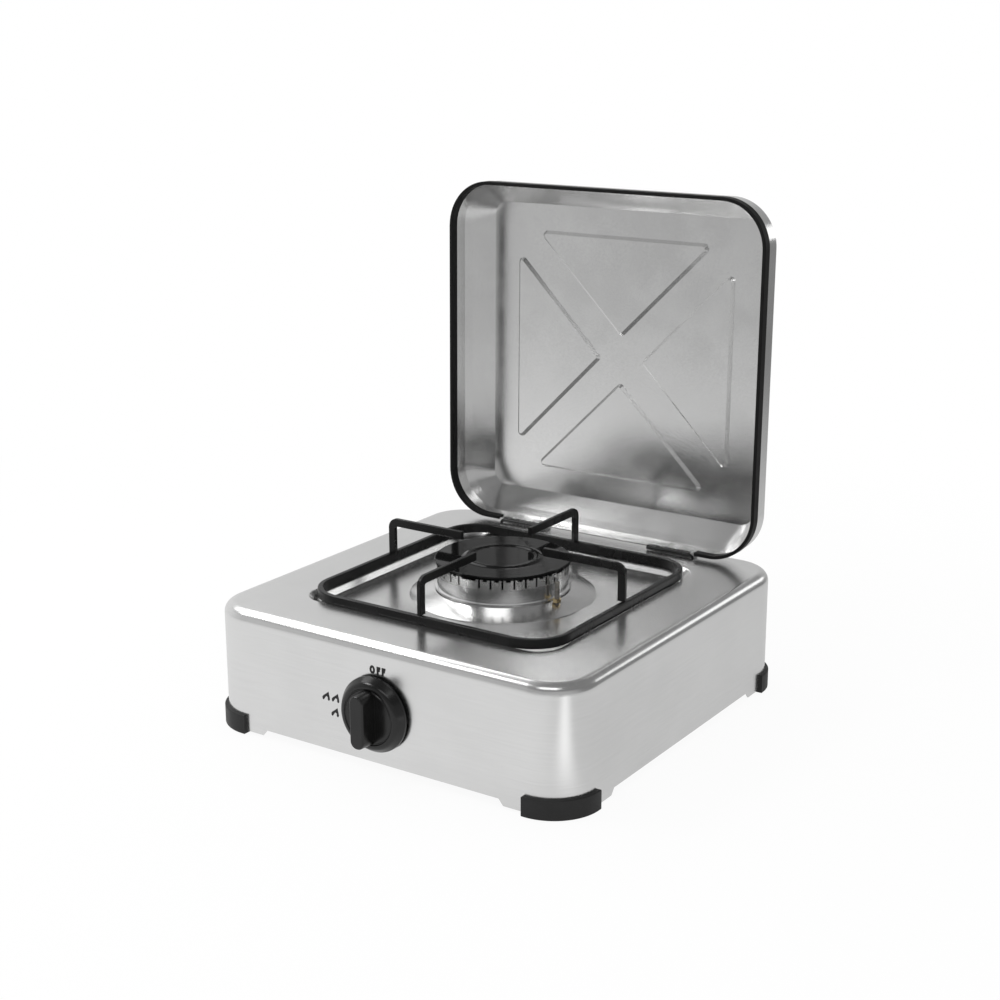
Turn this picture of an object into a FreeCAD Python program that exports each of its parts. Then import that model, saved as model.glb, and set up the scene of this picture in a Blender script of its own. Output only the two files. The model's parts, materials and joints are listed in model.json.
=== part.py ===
import FreeCAD, Part
import math
import os
import re
import Sketcher
from FreeCAD import Placement, Rotation, Vector

# A square single-burner table stove with a hinged pan lid, millimetres, +Z up.
# The origin is on the table under the burner, the knob faces -Y and the lid hinges at +Y.

SIZES = {
    # Casing: one deep-drawn sheet, open underneath, on four corner tabs
    "body_width": 300.0,
    "body_depth": 300.0,
    "body_corner": 32.2,
    "casing_wall": 0.8,
    "plate_height": 90.3,
    "plate_edge": 7.7,
    "tab_height": 2.1,
    "arch_height": 6.4,
    "arch_width": 194.0,
    "arch_depth": 190.0,
    "arch_slope": 3.6,
    # Dish sunk in the top plate, with a raised cone round the burner
    "dish_depth": 6.9,
    "dish_slope": 6.9,
    "dish_corner": 18.0,
    "dish_floor_corner": 12.0,
    "dish_play": 0.45,
    "cone_foot": 67.3,
    "cone_top": 49.6,
    "cone_rise": 5.3,
    "cone_step": 0.5,
    # Rubber corner feet
    "foot_height": 13.9,
    "foot_skin": 2.8,
    "foot_lining": 2.0,
    "foot_reach": 2.1,
    "foot_edge": 0.8,
    # Pan support: a flat bar ring with four bent fingers
    "ring_width": 205.6,
    "ring_corner": 29.4,
    "ring_bar": 4.0,
    "ring_height": 6.5,
    "ring_sink": 0.8,
    "ring_edge": 0.9,
    "finger_reach": 35.0,
    "finger_rise": 27.3,
    "finger_bar": 6.0,
    "finger_thickness": 3.0,
    "finger_overhang": 3.0,
    "finger_elbow": 7.5,
    "finger_edge": 0.5,
    # Burner bowl, slotted crown and enamelled cap
    "bowl_radius": 47.5,
    "bowl_wall": 1.4,
    "bowl_lip": 1.3,
    "bowl_lip_height": 1.1,
    "bowl_height": 12.4,
    "bowl_seat": 0.7,
    "bowl_neck": 44.8,
    "bowl_neck_depth": 5.0,
    "bowl_cone_depth": 15.0,
    "bowl_play": 0.5,
    "throat_radius": 11.5,
    "throat_length": 5.5,
    "throat_wall": 1.2,
    "crown_height": 7.0,
    "crown_wall": 6.0,
    "crown_spigot": 2.5,
    "slot_width": 1.4,
    "slot_height": 6.7,
    "slot_pitch": 10.0,
    "slot_start": 13.5,
    "slots_per_quarter": 8.0,
    "notch_width": 3.4,
    "notch_height": 1.4,
    "land_notch": 11.0,
    "cap_radius": 48.9,
    "cap_thickness": 2.3,
    "cap_edge": 0.7,
    "cap_spigot": 2.2,
    "cap_spigot_wall": 2.0,
    "cap_spigot_play": 0.6,
    "bead_radius": 25.7,
    "bead_rise": 1.4,
    "bead_half": 3.4,
    # Lid pan, measured inward from the outside of its rubber trim
    "lid_side_margin": 13.9,
    "lid_front_margin": 9.2,
    "lid_corner": 36.0,
    "lid_wall": 0.7,
    "lid_side": 19.3,
    "lid_shoulder": 4.3,
    "lid_shoulder_height": 5.0,
    "lid_shoulder_corner": 30.0,
    "lid_bevel": 12.7,
    "lid_bevel_height": 13.7,
    "lid_top_corner": 11.0,
    "lid_open_angle": 90.8,
    "panel_near": 17.4,
    "panel_far": 95.0,
    "panel_half": 78.2,
    "panel_corner": 4.0,
    "panel_rise": 2.4,
    "panel_bevel": 2.4,
    # Rubber trim on the lid's rim
    "trim_skin": 0.8,
    "trim_lining": 1.1,
    "trim_web": 1.2,
    "trim_depth": 7.0,
    "trim_gap": 88.0,
    "trim_edge": 0.5,
    # Lid hinges
    "hinge_setback": 23.1,
    "hinge_to_rim": 0.3,
    "knuckle_radius": 1.8,
    "knuckle_start": 47.5,
    "knuckle_length": 36.5,
    "pin_radius": 1.1,
    "pin_bend": 2.4,
    "pin_tail": 4.0,
    "pin_hole_play": 0.15,
    "leaf_thickness": 1.0,
    "leaf_height": 14.0,
    "rivet_radius": 1.2,
    "rivet_head": 2.3,
    "rivet_head_height": 0.8,
    "rivet_up": 9.0,
    "rivet_inset": 9.0,
    "push_nut_radius": 4.0,
    "push_nut_height": 1.0,
    # Knob, with the shaft's height on the front panel
    "knob_height": 42.4,
    "knob_radius": 26.3,
    "knob_gap": 1.9,
    "knob_rim": 1.8,
    "knob_dome": 7.6,
    "push_travel": 1.6,
    "knob_hub": 19.0,
    "knob_groove": 0.8,
    "knob_brow": 3.4,
    "knob_shoulder": 4.2,
    "knob_skin": 2.0,
    "knob_roof": 2.2,
    "grip_width": 10.8,
    "grip_length": 38.2,
    "grip_taper": 1.3,
    "grip_height": 12.3,
    "grip_end": 5.2,
    "grip_edge": 1.2,
    "knob_boss": 6.2,
    "knob_boss_depth": 3.0,
    "shaft_radius": 3.0,
    "shaft_flat": 1.9,
    "shaft_flat_length": 13.5,
    "shaft_tip_gap": 1.0,
    "shaft_tip_chamfer": 0.5,
    "insert_wall": 0.5,
    # Valve behind the front panel
    "flange_thickness": 2.4,
    "flange_width": 42.0,
    "flange_height": 24.0,
    "valve_radius": 12.0,
    "valve_length": 40.0,
    "valve_bore": 7.4,
    "valve_bore_depth": 15.0,
    "gland_thickness": 1.8,
    "collar_radius": 5.4,
    "collar_thickness": 1.5,
    "washer_thickness": 1.0,
    "washer_radius": 6.6,
    "spring_wire": 0.8,
    "spring_radius": 4.9,
    "plug_large": 6.2,
    "plug_small": 4.6,
    "plug_length": 18.0,
    "plug_port": 1.6,
    "plug_slot": 3.3,
    "plug_slot_depth": 7.5,
    "tang_width": 3.0,
    "tang_engagement": 3.5,
    "running_gap": 0.05,
    "rest_gap": 0.3,
    "screw_radius": 2.0,
    "screw_head": 3.6,
    "screw_head_height": 2.0,
    "screw_dome": 1.2,
    "screw_play": 0.15,
    "screw_end": 3.0,
    "screw_spacing": 32.0,
    "inlet_radius": 6.0,
    "inlet_reach": 22.0,
    "inlet_setback": 28.0,
    "outlet_radius": 5.5,
    "outlet_length": 6.0,
    "jet_radius": 3.6,
    "jet_length": 9.0,
    "jet_bore": 0.5,
    # Mixing tube, its air shutter and the bracket that carries it
    "tube_radius": 13.0,
    "tube_wall": 1.2,
    "tube_bend": 18.0,
    "mouth_length": 24.0,
    "mouth_gap": 1.5,
    "window_width": 12.0,
    "window_length": 13.0,
    "shutter_wall": 1.0,
    "shutter_length": 18.0,
    "bracket_width": 24.0,
    "bracket_thickness": 1.5,
    "bracket_span": 156.0,
    "bracket_flange": 13.0,
    "saddle_thickness": 1.2,
    "saddle_wing": 12.0,
    "saddle_setback": 36.0,
    # Ignition
    "igniter_width": 10.0,
    "igniter_height": 15.0,
    "igniter_length": 32.0,
    "igniter_neck": 2.6,
    "igniter_neck_length": 5.0,
    "strap_thickness": 0.8,
    "strap_width": 10.0,
    "strap_setback": 7.5,
    "electrode_radius": 1.8,
    "electrode_distance": 52.6,
    "electrode_angle": -10.0,
    "electrode_length": 29.0,
    "electrode_edge": 0.6,
    "electrode_top": 104.0,
    "spark_wire": 0.7,
    "spark_rise": 3.2,
    "spark_reach": 2.6,
    "electrode_nut": 3.2,
    "electrode_nut_height": 2.6,
    "lead_radius": 1.2,
    "lead_drop": 24.0,
    "lead_first_run": 14.0,
    # Gas inlet at the back and the pipe to the valve
    "inlet_offset": 70.0,
    "pipe_radius": 3.0,
    "pipe_bore": 2.0,
    "pipe_bend": 22.0,
    "union_hex": 8.1,
    "union_length": 10.0,
    "tail_radius": 5.0,
    "tail_length": 17.5,
    "tail_bore": 2.6,
    "tail_hex": 8.5,
    "tail_hex_height": 4.0,
    "tail_thread": 6.0,
    "tail_thread_length": 14.0,
    "tail_groove": 0.5,
    "tail_pitch": 2.5,
    "locknut_height": 3.6,
}

doc = FreeCAD.newDocument("table_stove")
sheet = doc.addObject("Spreadsheet::Sheet", "sizes")
for row, (alias, number) in enumerate(SIZES.items(), start=1):
    sheet.set("A%d" % row, alias)
    sheet.set("B%d" % row, str(number))
    sheet.setAlias("B%d" % row, alias)
doc.recompute()

# Lengths that several pieces share, as formulas of the sheet's cells
PANEL_Y = "body_depth / 2"
DISH_FLOOR = "(plate_height - dish_depth)"
DISH_OPENING = "(ring_width + 2 * (ring_sink * dish_slope / dish_depth + dish_play))"
CONE_CREST = "(plate_height - dish_depth + cone_rise)"
BOWL_TOP = "(plate_height - dish_depth + cone_rise + bowl_height)"
CROWN_TOP = "(plate_height - dish_depth + cone_rise + bowl_height + crown_height)"
RING_TOP = "(plate_height - ring_sink + ring_height)"
HINGE_Y = "(body_depth / 2 - hinge_setback)"
HINGE_Z = "(plate_height + knuckle_radius + rest_gap)"
TRIM_FACE = "(-knuckle_radius)"
LID_WIDTH = "(body_width - 2 * lid_side_margin)"
LID_LENGTH = "(body_depth - hinge_setback - hinge_to_rim - lid_front_margin)"
LID_CENTRE = "(-hinge_to_rim - %s / 2)" % LID_LENGTH
VALVE_END = "(casing_wall + valve_length)"
COLLAR_BACK = "(casing_wall + gland_thickness + rest_gap + collar_thickness)"
SPRING_FRONT = "(casing_wall + gland_thickness + 3 * rest_gap + collar_thickness + washer_thickness)"
JET_TIP = "(casing_wall + valve_length + outlet_length + jet_length)"
TUBE_MOUTH = "(body_depth / 2 - casing_wall - valve_length - outlet_length - jet_length - mouth_gap)"


# How near two lengths count as the same, what a rounded end falls short of a half circle by,
# and the share of its shorter run that a lead's arc uses
NEAR = 0.01
TOUCH = 0.001
LEAD_ARC_SHARE = 0.45


def formula(text):
    """The same formula with each size read from the sheet."""
    return re.sub(r"[a-z_]+", lambda m: "sizes." + m.group() if m.group() in SIZES else m.group(), str(text))


def measure(text):
    """A formula's value in millimetres or degrees."""
    return float(sheet.evalExpression(formula(text)))


def bind(thing, name, text):
    """Holds one property of an object to a formula of the sizes."""
    thing.setExpression(name, formula(text))


def place(thing, x="0", y="0", z="0", axis=None, angle="0"):
    """Puts a sub-part in the row frame, with its place held by formulas."""
    turn = Rotation(axis, measure(angle)) if axis is not None else Rotation()
    thing.Placement = Placement(Vector(measure(x), measure(y), measure(z)), turn)
    for letter, text in (("x", x), ("y", y), ("z", z)):
        if text != "0":
            bind(thing, "Placement.Base." + letter, text)


def new_body(label, **where):
    """An empty sub-part under its own label."""
    body = doc.addObject("PartDesign::Body", label)
    body.Label = label
    body.AllowCompound = True
    place(body, **where)
    return body


def new_sketch(body, plane="XY_Plane", lift="0", x="0", y="0", turn="0"):
    """A sketch on one of the body's own origin planes, lifted along the plane's normal."""
    sketch = body.newObject("Sketcher::SketchObject", body.Label + "_sketch")
    base = [part for part in body.Origin.OriginFeatures if part.Role == plane][0]
    sketch.AttachmentSupport = [(base, "")]
    sketch.MapMode = "FlatFace"
    spot = Vector(measure(x), measure(y), measure(lift))
    sketch.AttachmentOffset = Placement(spot, Rotation(Vector(0, 0, 1), measure(turn)))
    for letter, text in (("x", x), ("y", y), ("z", lift)):
        if text != "0":
            bind(sketch, "AttachmentOffset.Base." + letter, text)
    return sketch


def hold(sketch, kind, *details, size):
    """Adds a dimension to a sketch and holds it to a formula."""
    index = sketch.addConstraint(Sketcher.Constraint(kind, *details, measure(size)))
    bind(sketch, "Constraints[%d]" % index, size)


def pin_point(sketch, index, end, across, up):
    """Holds a point of a sketch at two distances from the sketch's origin."""
    hold(sketch, "DistanceX", -1, 1, index, end, size=across)
    hold(sketch, "DistanceY", -1, 1, index, end, size=up)


def circle(sketch, radius, across="0", up="0"):
    """A full circle."""
    centre = Vector(measure(across), measure(up), 0)
    index = sketch.addGeometry(Part.Circle(centre, Vector(0, 0, 1), measure(radius)), False)
    hold(sketch, "Radius", index, size=radius)
    pin_point(sketch, index, 3, across, up)


def outline(sketch, corners, closed=True):
    """Straight sides through the corners. A corner is (across, up) or (across, up, radius)."""
    count = len(corners)
    spots = [Vector(measure(corner[0]), measure(corner[1]), 0) for corner in corners]
    rounds = [corner[2] if len(corner) > 2 else None for corner in corners]
    starts, ends = list(spots), list(spots)
    for i, radius in enumerate(rounds):
        if radius is None:
            continue
        back = (spots[i - 1] - spots[i]).normalize()
        ahead = (spots[(i + 1) % count] - spots[i]).normalize()
        trim = measure(radius) / math.tan(back.getAngle(ahead) / 2)
        ends[i] = spots[i] + back * trim
        starts[i] = spots[i] + ahead * trim
    sides = {}
    for i in range(count if closed else count - 1):
        after = (i + 1) % count
        sides[i] = sketch.addGeometry(Part.LineSegment(starts[i], ends[after]), False)
    for i, radius in enumerate(rounds):
        before, after = sides.get((i - 1) % count), sides.get(i)
        if radius is None:
            if after is not None:
                pin_point(sketch, after, 1, *corners[i][:2])
                if before is not None:
                    sketch.addConstraint(Sketcher.Constraint("Coincident", before, 2, after, 1))
            else:
                pin_point(sketch, before, 2, *corners[i][:2])
            continue
        round_corner(sketch, corners[i], spots[i], ends[i], starts[i], before, after)


def round_corner(sketch, corner, spot, enter, leave, before, after):
    """An arc tangent to the two sides that meet at a corner, whose sharp point stays held."""
    mark = sketch.addGeometry(Part.Point(spot), True)
    pin_point(sketch, mark, 1, *corner[:2])
    for side in (before, after):
        sketch.addConstraint(Sketcher.Constraint("PointOnObject", mark, 1, side))
    radius = measure(corner[2])
    middle = (enter + leave) * 0.5
    away = (middle - spot).normalize()
    reach = math.sqrt(radius ** 2 + (enter - spot).Length ** 2)
    centre = spot + away * reach
    left = (enter - centre).cross(leave - centre).z > 0
    first, last = (enter, leave) if left else (leave, enter)
    angles = [math.atan2(point.y - centre.y, point.x - centre.x) for point in (first, last)]
    ring = Part.Circle(centre, Vector(0, 0, 1), radius)
    arc = sketch.addGeometry(Part.ArcOfCircle(ring, angles[0], angles[1]), False)
    sketch.addConstraint(Sketcher.Constraint("Tangent", before, 2, arc, 1 if left else 2))
    sketch.addConstraint(Sketcher.Constraint("Tangent", arc, 2 if left else 1, after, 1))
    hold(sketch, "Radius", arc, size=corner[2])


def rectangle(sketch, width, height, radius=None, across="0", up="0"):
    """A rectangle about a centre, with rounded corners where a radius is given."""
    corners = []
    for side, rise in ((-1, -1), (1, -1), (1, 1), (-1, 1)):
        corner = ["(%s) + %d * (%s) / 2" % (across, side, width), "(%s) + %d * (%s) / 2" % (up, rise, height)]
        corners.append(tuple(corner + ([radius] if radius else [])))
    outline(sketch, corners)


def hexagon(sketch, across_corners, across="0", up="0"):
    """A regular hexagon."""
    corners = []
    for step in range(6):
        angle = 60 * step
        corners.append(
            ("(%s) + (%s) * cos(%d)" % (across, across_corners, angle),
             "(%s) + (%s) * sin(%d)" % (up, across_corners, angle))
        )
    outline(sketch, corners)


def settle(body, feature, grows):
    """Makes a feature the body's tip and checks that it added or removed material."""
    before = body.Shape.Volume if not body.Shape.isNull() else 0.0
    body.Tip = feature
    doc.recompute()
    change = body.Shape.Volume - before
    if "Invalid" in feature.State or "Error" in feature.State or (change > 0) != grows or abs(change) < 1e-3:
        raise RuntimeError("%s %s changed its volume by %.4f" % (body.Label, feature.TypeId, change))
    return feature


def extrude(body, sketch, length, cut=False, back=False, both=False, through=False):
    """A pad along the sketch's normal, or a pocket against it. Either can be turned back."""
    feature = body.newObject("PartDesign::Pocket" if cut else "PartDesign::Pad", body.Label + "_extrusion")
    feature.Profile = sketch
    if through:
        feature.Type = "ThroughAll"
    else:
        bind(feature, "Length", length)
    feature.Midplane = both
    feature.Reversed = back
    return settle(body, feature, not cut)


def revolve(body, sketch, cut=False, axis="V_Axis"):
    """A full turn of a sketch about one of its own axes."""
    kind = "PartDesign::Groove" if cut else "PartDesign::Revolution"
    feature = body.newObject(kind, body.Label + "_turning")
    feature.Profile = sketch
    feature.ReferenceAxis = (sketch, [axis])
    feature.Angle = 360.0
    return settle(body, feature, not cut)


def loft(body, sketches, cut=False):
    """A ruled skin through sections, added or removed."""
    kind = "PartDesign::SubtractiveLoft" if cut else "PartDesign::AdditiveLoft"
    feature = body.newObject(kind, body.Label + "_loft")
    feature.Profile = sketches[0]
    feature.Sections = sketches[1:]
    feature.Ruled = True
    return settle(body, feature, not cut)


def sweep(body, section, path, cut=False):
    """A section carried along the edges of a path sketch, added or removed."""
    kind = "PartDesign::SubtractivePipe" if cut else "PartDesign::AdditivePipe"
    feature = body.newObject(kind, body.Label + "_pipe")
    feature.Profile = section
    edges = ["Edge%d" % (i + 1) for i in range(len(path.Shape.Edges))]
    feature.Spine = (path, edges)
    return settle(body, feature, not cut)


def round_edges(body, radius, chosen, kind="Fillet"):
    """Rounds or chamfers the edges of the body's tip that a test picks."""
    tip = body.Tip
    names = ["Edge%d" % (i + 1) for i, edge in enumerate(tip.Shape.Edges) if chosen(edge)]
    feature = body.newObject("PartDesign::" + kind, body.Label + "_" + kind.lower())
    feature.Base = (tip, names)
    bind(feature, "Radius" if kind == "Fillet" else "Size", radius)
    body.Tip = feature
    doc.recompute()
    if "Invalid" in feature.State or not names:
        raise RuntimeError("%s: no %s" % (body.Label, kind))
    return feature


def hollow_out(body, wall, chosen):
    """Leaves a wall inside the body's tip, open at the faces that a test picks."""
    tip = body.Tip
    feature = body.newObject("PartDesign::Thickness", body.Label + "_wall")
    feature.Base = (tip, ["Face%d" % (i + 1) for i, face in enumerate(tip.Shape.Faces) if chosen(face)])
    bind(feature, "Value", wall)
    feature.Reversed = True
    feature.Join = "Intersection"
    return settle(body, feature, False)


def pattern(body, features, sketch, count, angle="360"):
    """Repeats features about the normal through a sketch's origin."""
    feature = body.newObject("PartDesign::PolarPattern", body.Label + "_pattern")
    feature.Originals = features
    feature.Axis = (sketch, ["N_Axis"])
    bind(feature, "Angle", angle)
    bind(feature, "Occurrences", count)
    body.Tip = feature
    doc.recompute()
    return feature


def level(height):
    """A test for edges that lie flat at a height of the body's own frame."""
    value = measure(height)

    def lies_flat(edge):
        return max(abs(edge.BoundBox.ZMin - value), abs(edge.BoundBox.ZMax - value)) < NEAR

    return lies_flat


# Casing

def corner_tabs(casing):
    """Cuts the arches between the corner tabs out of the lower edge, with slanted ends."""
    arches = (("XZ_Plane", "arch_width", "body_depth"), ("YZ_Plane", "arch_depth", "body_width"))
    for plane, width, travel in arches:
        sketch = new_sketch(casing, plane)
        outline(sketch, [
            ("-%s / 2 - arch_slope" % width, "tab_height - 1"),
            ("%s / 2 + arch_slope" % width, "tab_height - 1"),
            ("%s / 2 + arch_slope" % width, "tab_height"),
            ("%s / 2" % width, "arch_height"),
            ("-%s / 2" % width, "arch_height"),
            ("-%s / 2 - arch_slope" % width, "tab_height"),
        ])
        extrude(casing, sketch, travel + " + 2", cut=True, both=True)


def dish_section(casing, height, inset, corner):
    """One rounded square of the dish at a height of the plate."""
    sketch = new_sketch(casing, lift=height)
    side = "%s - 2 * (%s)" % (DISH_OPENING, inset)
    rectangle(sketch, side, side, corner)
    return sketch


def casing_holes(casing):
    """Holes for the knob's shaft, valve screws, gas inlet, hinge pins and electrode."""
    front = new_sketch(casing, "XZ_Plane", lift=PANEL_Y)
    circle(front, "shaft_radius + 1", up="knob_height")
    for side in (-1, 1):
        circle(front, "screw_radius + screw_play", across="%d * screw_spacing / 2" % side, up="knob_height")
    extrude(casing, front, "casing_wall + 2", cut=True)
    rear = new_sketch(casing, "XZ_Plane", lift="-" + PANEL_Y)
    circle(rear, "tail_thread + screw_play", across="inlet_offset", up="knob_height")
    extrude(casing, rear, "casing_wall + 2", cut=True, back=True)
    plate = new_sketch(casing, lift="plate_height + 1")
    for side in (-1, 1):
        circle(plate, "pin_radius + pin_hole_play", up=HINGE_Y,
               across="%d * (knuckle_start + knuckle_length + pin_bend)" % side)
    circle(plate, "electrode_radius + pin_hole_play", across="electrode_distance * cos(electrode_angle)",
           up="electrode_distance * sin(electrode_angle)")
    circle(plate, "bowl_neck + bowl_play")
    extrude(casing, plate, "dish_depth + 6", cut=True)


def build_casing():
    """The drawn casing with its rounded edge, sunk dish, burner cone and corner tabs."""
    casing = new_body("body_shell")
    outside = new_sketch(casing, lift="tab_height")
    rectangle(outside, "body_width", "body_depth", "body_corner")
    extrude(casing, outside, "plate_height - tab_height")
    round_edges(casing, "plate_edge", level("plate_height"))
    hollow_out(casing, "casing_wall", level("tab_height"))
    skin = "casing_wall * (sqrt(2) - 1)"
    loft(casing, [
        dish_section(casing, "plate_height - casing_wall", "-(%s)" % skin, "dish_corner + casing_wall"),
        dish_section(casing, DISH_FLOOR + " - casing_wall", "dish_slope - (%s)" % skin,
                     "dish_floor_corner + casing_wall"),
    ])
    loft(casing, [
        dish_section(casing, "plate_height", "0", "dish_corner"),
        dish_section(casing, DISH_FLOOR, "dish_slope", "dish_floor_corner"),
    ], cut=True)
    cone = new_sketch(casing, "XZ_Plane")
    outline(cone, [
        ("bowl_neck + bowl_play - 1", CONE_CREST + " - casing_wall"),
        ("cone_top", CONE_CREST + " - casing_wall"),
        ("cone_foot", DISH_FLOOR + " - casing_wall"),
        ("cone_foot", DISH_FLOOR),
        ("cone_foot", DISH_FLOOR + " + cone_step"),
        ("cone_top", CONE_CREST),
        ("bowl_neck + bowl_play - 1", CONE_CREST),
    ])
    revolve(casing, cone)
    under = new_sketch(casing, "XZ_Plane")
    outline(under, [
        ("0", DISH_FLOOR + " - casing_wall - 1"),
        ("cone_foot", DISH_FLOOR + " - casing_wall - 1"),
        ("cone_foot", DISH_FLOOR + " - casing_wall"),
        ("cone_top", CONE_CREST + " - casing_wall"),
        ("0", CONE_CREST + " - casing_wall"),
    ])
    revolve(casing, under, cut=True)
    casing_holes(casing)
    corner_tabs(casing)
    mouth = measure(DISH_OPENING + " / 2 + 1")
    top = level("plate_height")
    round_edges(casing, "casing_wall",
                lambda e: top(e) and max(e.BoundBox.XMax, e.BoundBox.YMax) < mouth)
    return casing


def build_foot(name, across, along, turn):
    """A rubber strip bent round one corner, with a groove for the casing's edge."""
    foot = new_body(name, x="%d * (body_width / 2 - body_corner)" % across,
                    y="%d * (body_depth / 2 - body_corner)" % along, axis=Vector(0, 0, 1), angle=turn)
    sketch = new_sketch(foot)
    corner_strip(sketch, "(body_corner + foot_skin)", "(body_corner - casing_wall - foot_lining)",
                 "foot_reach")
    extrude(foot, sketch, "foot_height")
    groove = new_sketch(foot, lift="tab_height")
    corner_strip(groove, "body_corner", "(body_corner - casing_wall)", "(foot_reach + 1)")
    extrude(foot, groove, "foot_height", cut=True, back=True)
    outer = measure("body_corner + foot_skin")
    for height in ("foot_height", "0"):
        flat = level(height)
        round_edges(foot, "foot_edge",
                    lambda e: flat(e) and max(e.BoundBox.XMax, e.BoundBox.YMax) > outer - NEAR)
    return foot


def corner_strip(sketch, outer, inner, reach):
    """A strip along a quarter turn about the origin, with a short straight stretch at each end."""
    outline(sketch, [
        ("-" + reach, outer),
        ("-" + reach, inner),
        (inner, inner, inner),
        (inner, "-" + reach),
        (outer, "-" + reach),
        (outer, outer, outer),
    ])


# Pan support

def build_ring():
    """The rounded square of flat bar that sits in the mouth of the dish."""
    ring = new_body("pan_support_ring")
    sketch = new_sketch(ring, lift="plate_height - ring_sink")
    rectangle(sketch, "ring_width", "ring_width", "ring_corner")
    rectangle(sketch, "ring_width - 2 * ring_bar", "ring_width - 2 * ring_bar", "ring_corner - ring_bar")
    extrude(ring, sketch, "ring_height")
    round_edges(ring, "ring_edge", level(RING_TOP))
    return ring


def build_finger(name, turn):
    """A flat bar bent on edge: a leg welded on the ring and an arm towards the burner."""
    finger = new_body(name, z=RING_TOP, axis=Vector(0, 0, 1), angle=turn)
    sketch = new_sketch(finger, "XZ_Plane")
    inner = "(ring_width / 2 - ring_bar - finger_overhang)"
    outline(sketch, [
        (inner, "0"),
        (inner + " + finger_bar", "0"),
        (inner + " + finger_bar", "finger_rise", "finger_elbow"),
        ("finger_reach", "finger_rise"),
        ("finger_reach", "finger_rise - finger_bar"),
        (inner, "finger_rise - finger_bar", "finger_elbow - finger_bar"),
    ])
    extrude(finger, sketch, "finger_thickness", both=True)
    half = measure("finger_thickness / 2")
    round_edges(finger, "finger_edge",
                lambda e: abs(abs(e.CenterOfMass.y) - half) < NEAR and e.BoundBox.ZMax > NEAR)
    return finger


# Burner

def build_bowl():
    """The spun bowl that stands on the cone on a narrow seat, with its lip, funnel and throat."""
    bowl = new_body("burner_bowl", z=CONE_CREST)
    sketch = new_sketch(bowl, "XZ_Plane")
    funnel = "(-bowl_neck_depth - bowl_cone_depth)"
    outline(sketch, [
        ("bowl_radius + bowl_lip", "bowl_seat"),
        ("bowl_radius + bowl_lip", "bowl_seat + bowl_lip_height"),
        ("bowl_radius", "bowl_seat + bowl_lip_height"),
        ("bowl_radius", "bowl_height"),
        ("bowl_radius - bowl_wall", "bowl_height"),
        ("bowl_radius - bowl_wall", "bowl_seat + bowl_lip_height"),
        ("bowl_neck - bowl_wall", "0"),
        ("bowl_neck - bowl_wall", "-bowl_neck_depth"),
        ("throat_radius - throat_wall", funnel),
        ("throat_radius - throat_wall", funnel + " - throat_length"),
        ("throat_radius", funnel + " - throat_length"),
        ("throat_radius", funnel + " - bowl_wall"),
        ("bowl_neck", "-bowl_neck_depth - bowl_wall"),
        ("bowl_neck", "0"),
        ("bowl_radius - bowl_play", "0"),
        ("bowl_radius - bowl_play", "bowl_seat"),
    ])
    revolve(bowl, sketch)
    return bowl


def port(crown, turn, width, depth):
    """One cut across the flame ring's wall from its top, at a turn about the axis."""
    sketch = new_sketch(crown, lift="crown_height", turn=turn)
    rectangle(sketch, "2 * crown_wall", width, across="bowl_radius - crown_wall / 2")
    return sketch, extrude(crown, sketch, depth, cut=True)


def build_crown():
    """The flame ring: eight slots and notches in each quarter, and four lands with a wide notch."""
    crown = new_body("burner_crown", z=BOWL_TOP)
    wall = new_sketch(crown, "XZ_Plane")
    inner = "(bowl_radius - crown_wall)"
    outline(wall, [
        ("bowl_radius", "0"),
        ("bowl_radius", "crown_height"),
        (inner, "crown_height"),
        (inner, "-crown_spigot"),
        ("bowl_radius - bowl_wall - bowl_play / 2", "-crown_spigot"),
        ("bowl_radius - bowl_wall - bowl_play / 2", "0"),
    ])
    revolve(crown, wall)
    land, land_cut = port(crown, "slot_start - slot_pitch", "land_notch", "notch_height")
    pattern(crown, [land_cut], land, "4")
    axis, slot = port(crown, "slot_start", "slot_width", "slot_height")
    notch = port(crown, "slot_start + slot_pitch / 2", "notch_width", "notch_height")[1]
    quarter = doc.addObject("PartDesign::PolarPattern", "slots_in_a_quarter")
    around = doc.addObject("PartDesign::PolarPattern", "four_quarters")
    repeat = crown.newObject("PartDesign::MultiTransform", "crown_ports")
    repeat.Originals = [slot, notch]
    quarter.Axis = (axis, ["N_Axis"])
    bind(quarter, "Angle", "slot_pitch * (slots_per_quarter - 1)")
    bind(quarter, "Occurrences", "slots_per_quarter")
    around.Axis = (axis, ["N_Axis"])
    around.Angle = 360.0
    around.Occurrences = 4
    repeat.Transformations = [quarter, around]
    crown.Tip = repeat
    doc.recompute()
    return crown


def build_cap():
    """The enamelled disc with its raised bead and the skirt that centres it in the crown."""
    cap = new_body("burner_cap", z=CROWN_TOP + " + rest_gap")
    sketch = new_sketch(cap, "XZ_Plane")
    skirt = "(bowl_radius - crown_wall - cap_spigot_play)"
    outline(sketch, [
        ("0", "0"),
        (skirt + " - cap_spigot_wall", "0"),
        (skirt + " - cap_spigot_wall", "-cap_spigot"),
        (skirt, "-cap_spigot"),
        (skirt, "0"),
        ("cap_radius", "0"),
        ("cap_radius", "cap_thickness", "cap_edge"),
        ("bead_radius + bead_half", "cap_thickness", "bead_half"),
        ("bead_radius", "cap_thickness + bead_rise", "bead_half"),
        ("bead_radius - bead_half", "cap_thickness", "bead_half"),
        ("0", "cap_thickness"),
    ])
    revolve(cap, sketch)
    return cap


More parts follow.
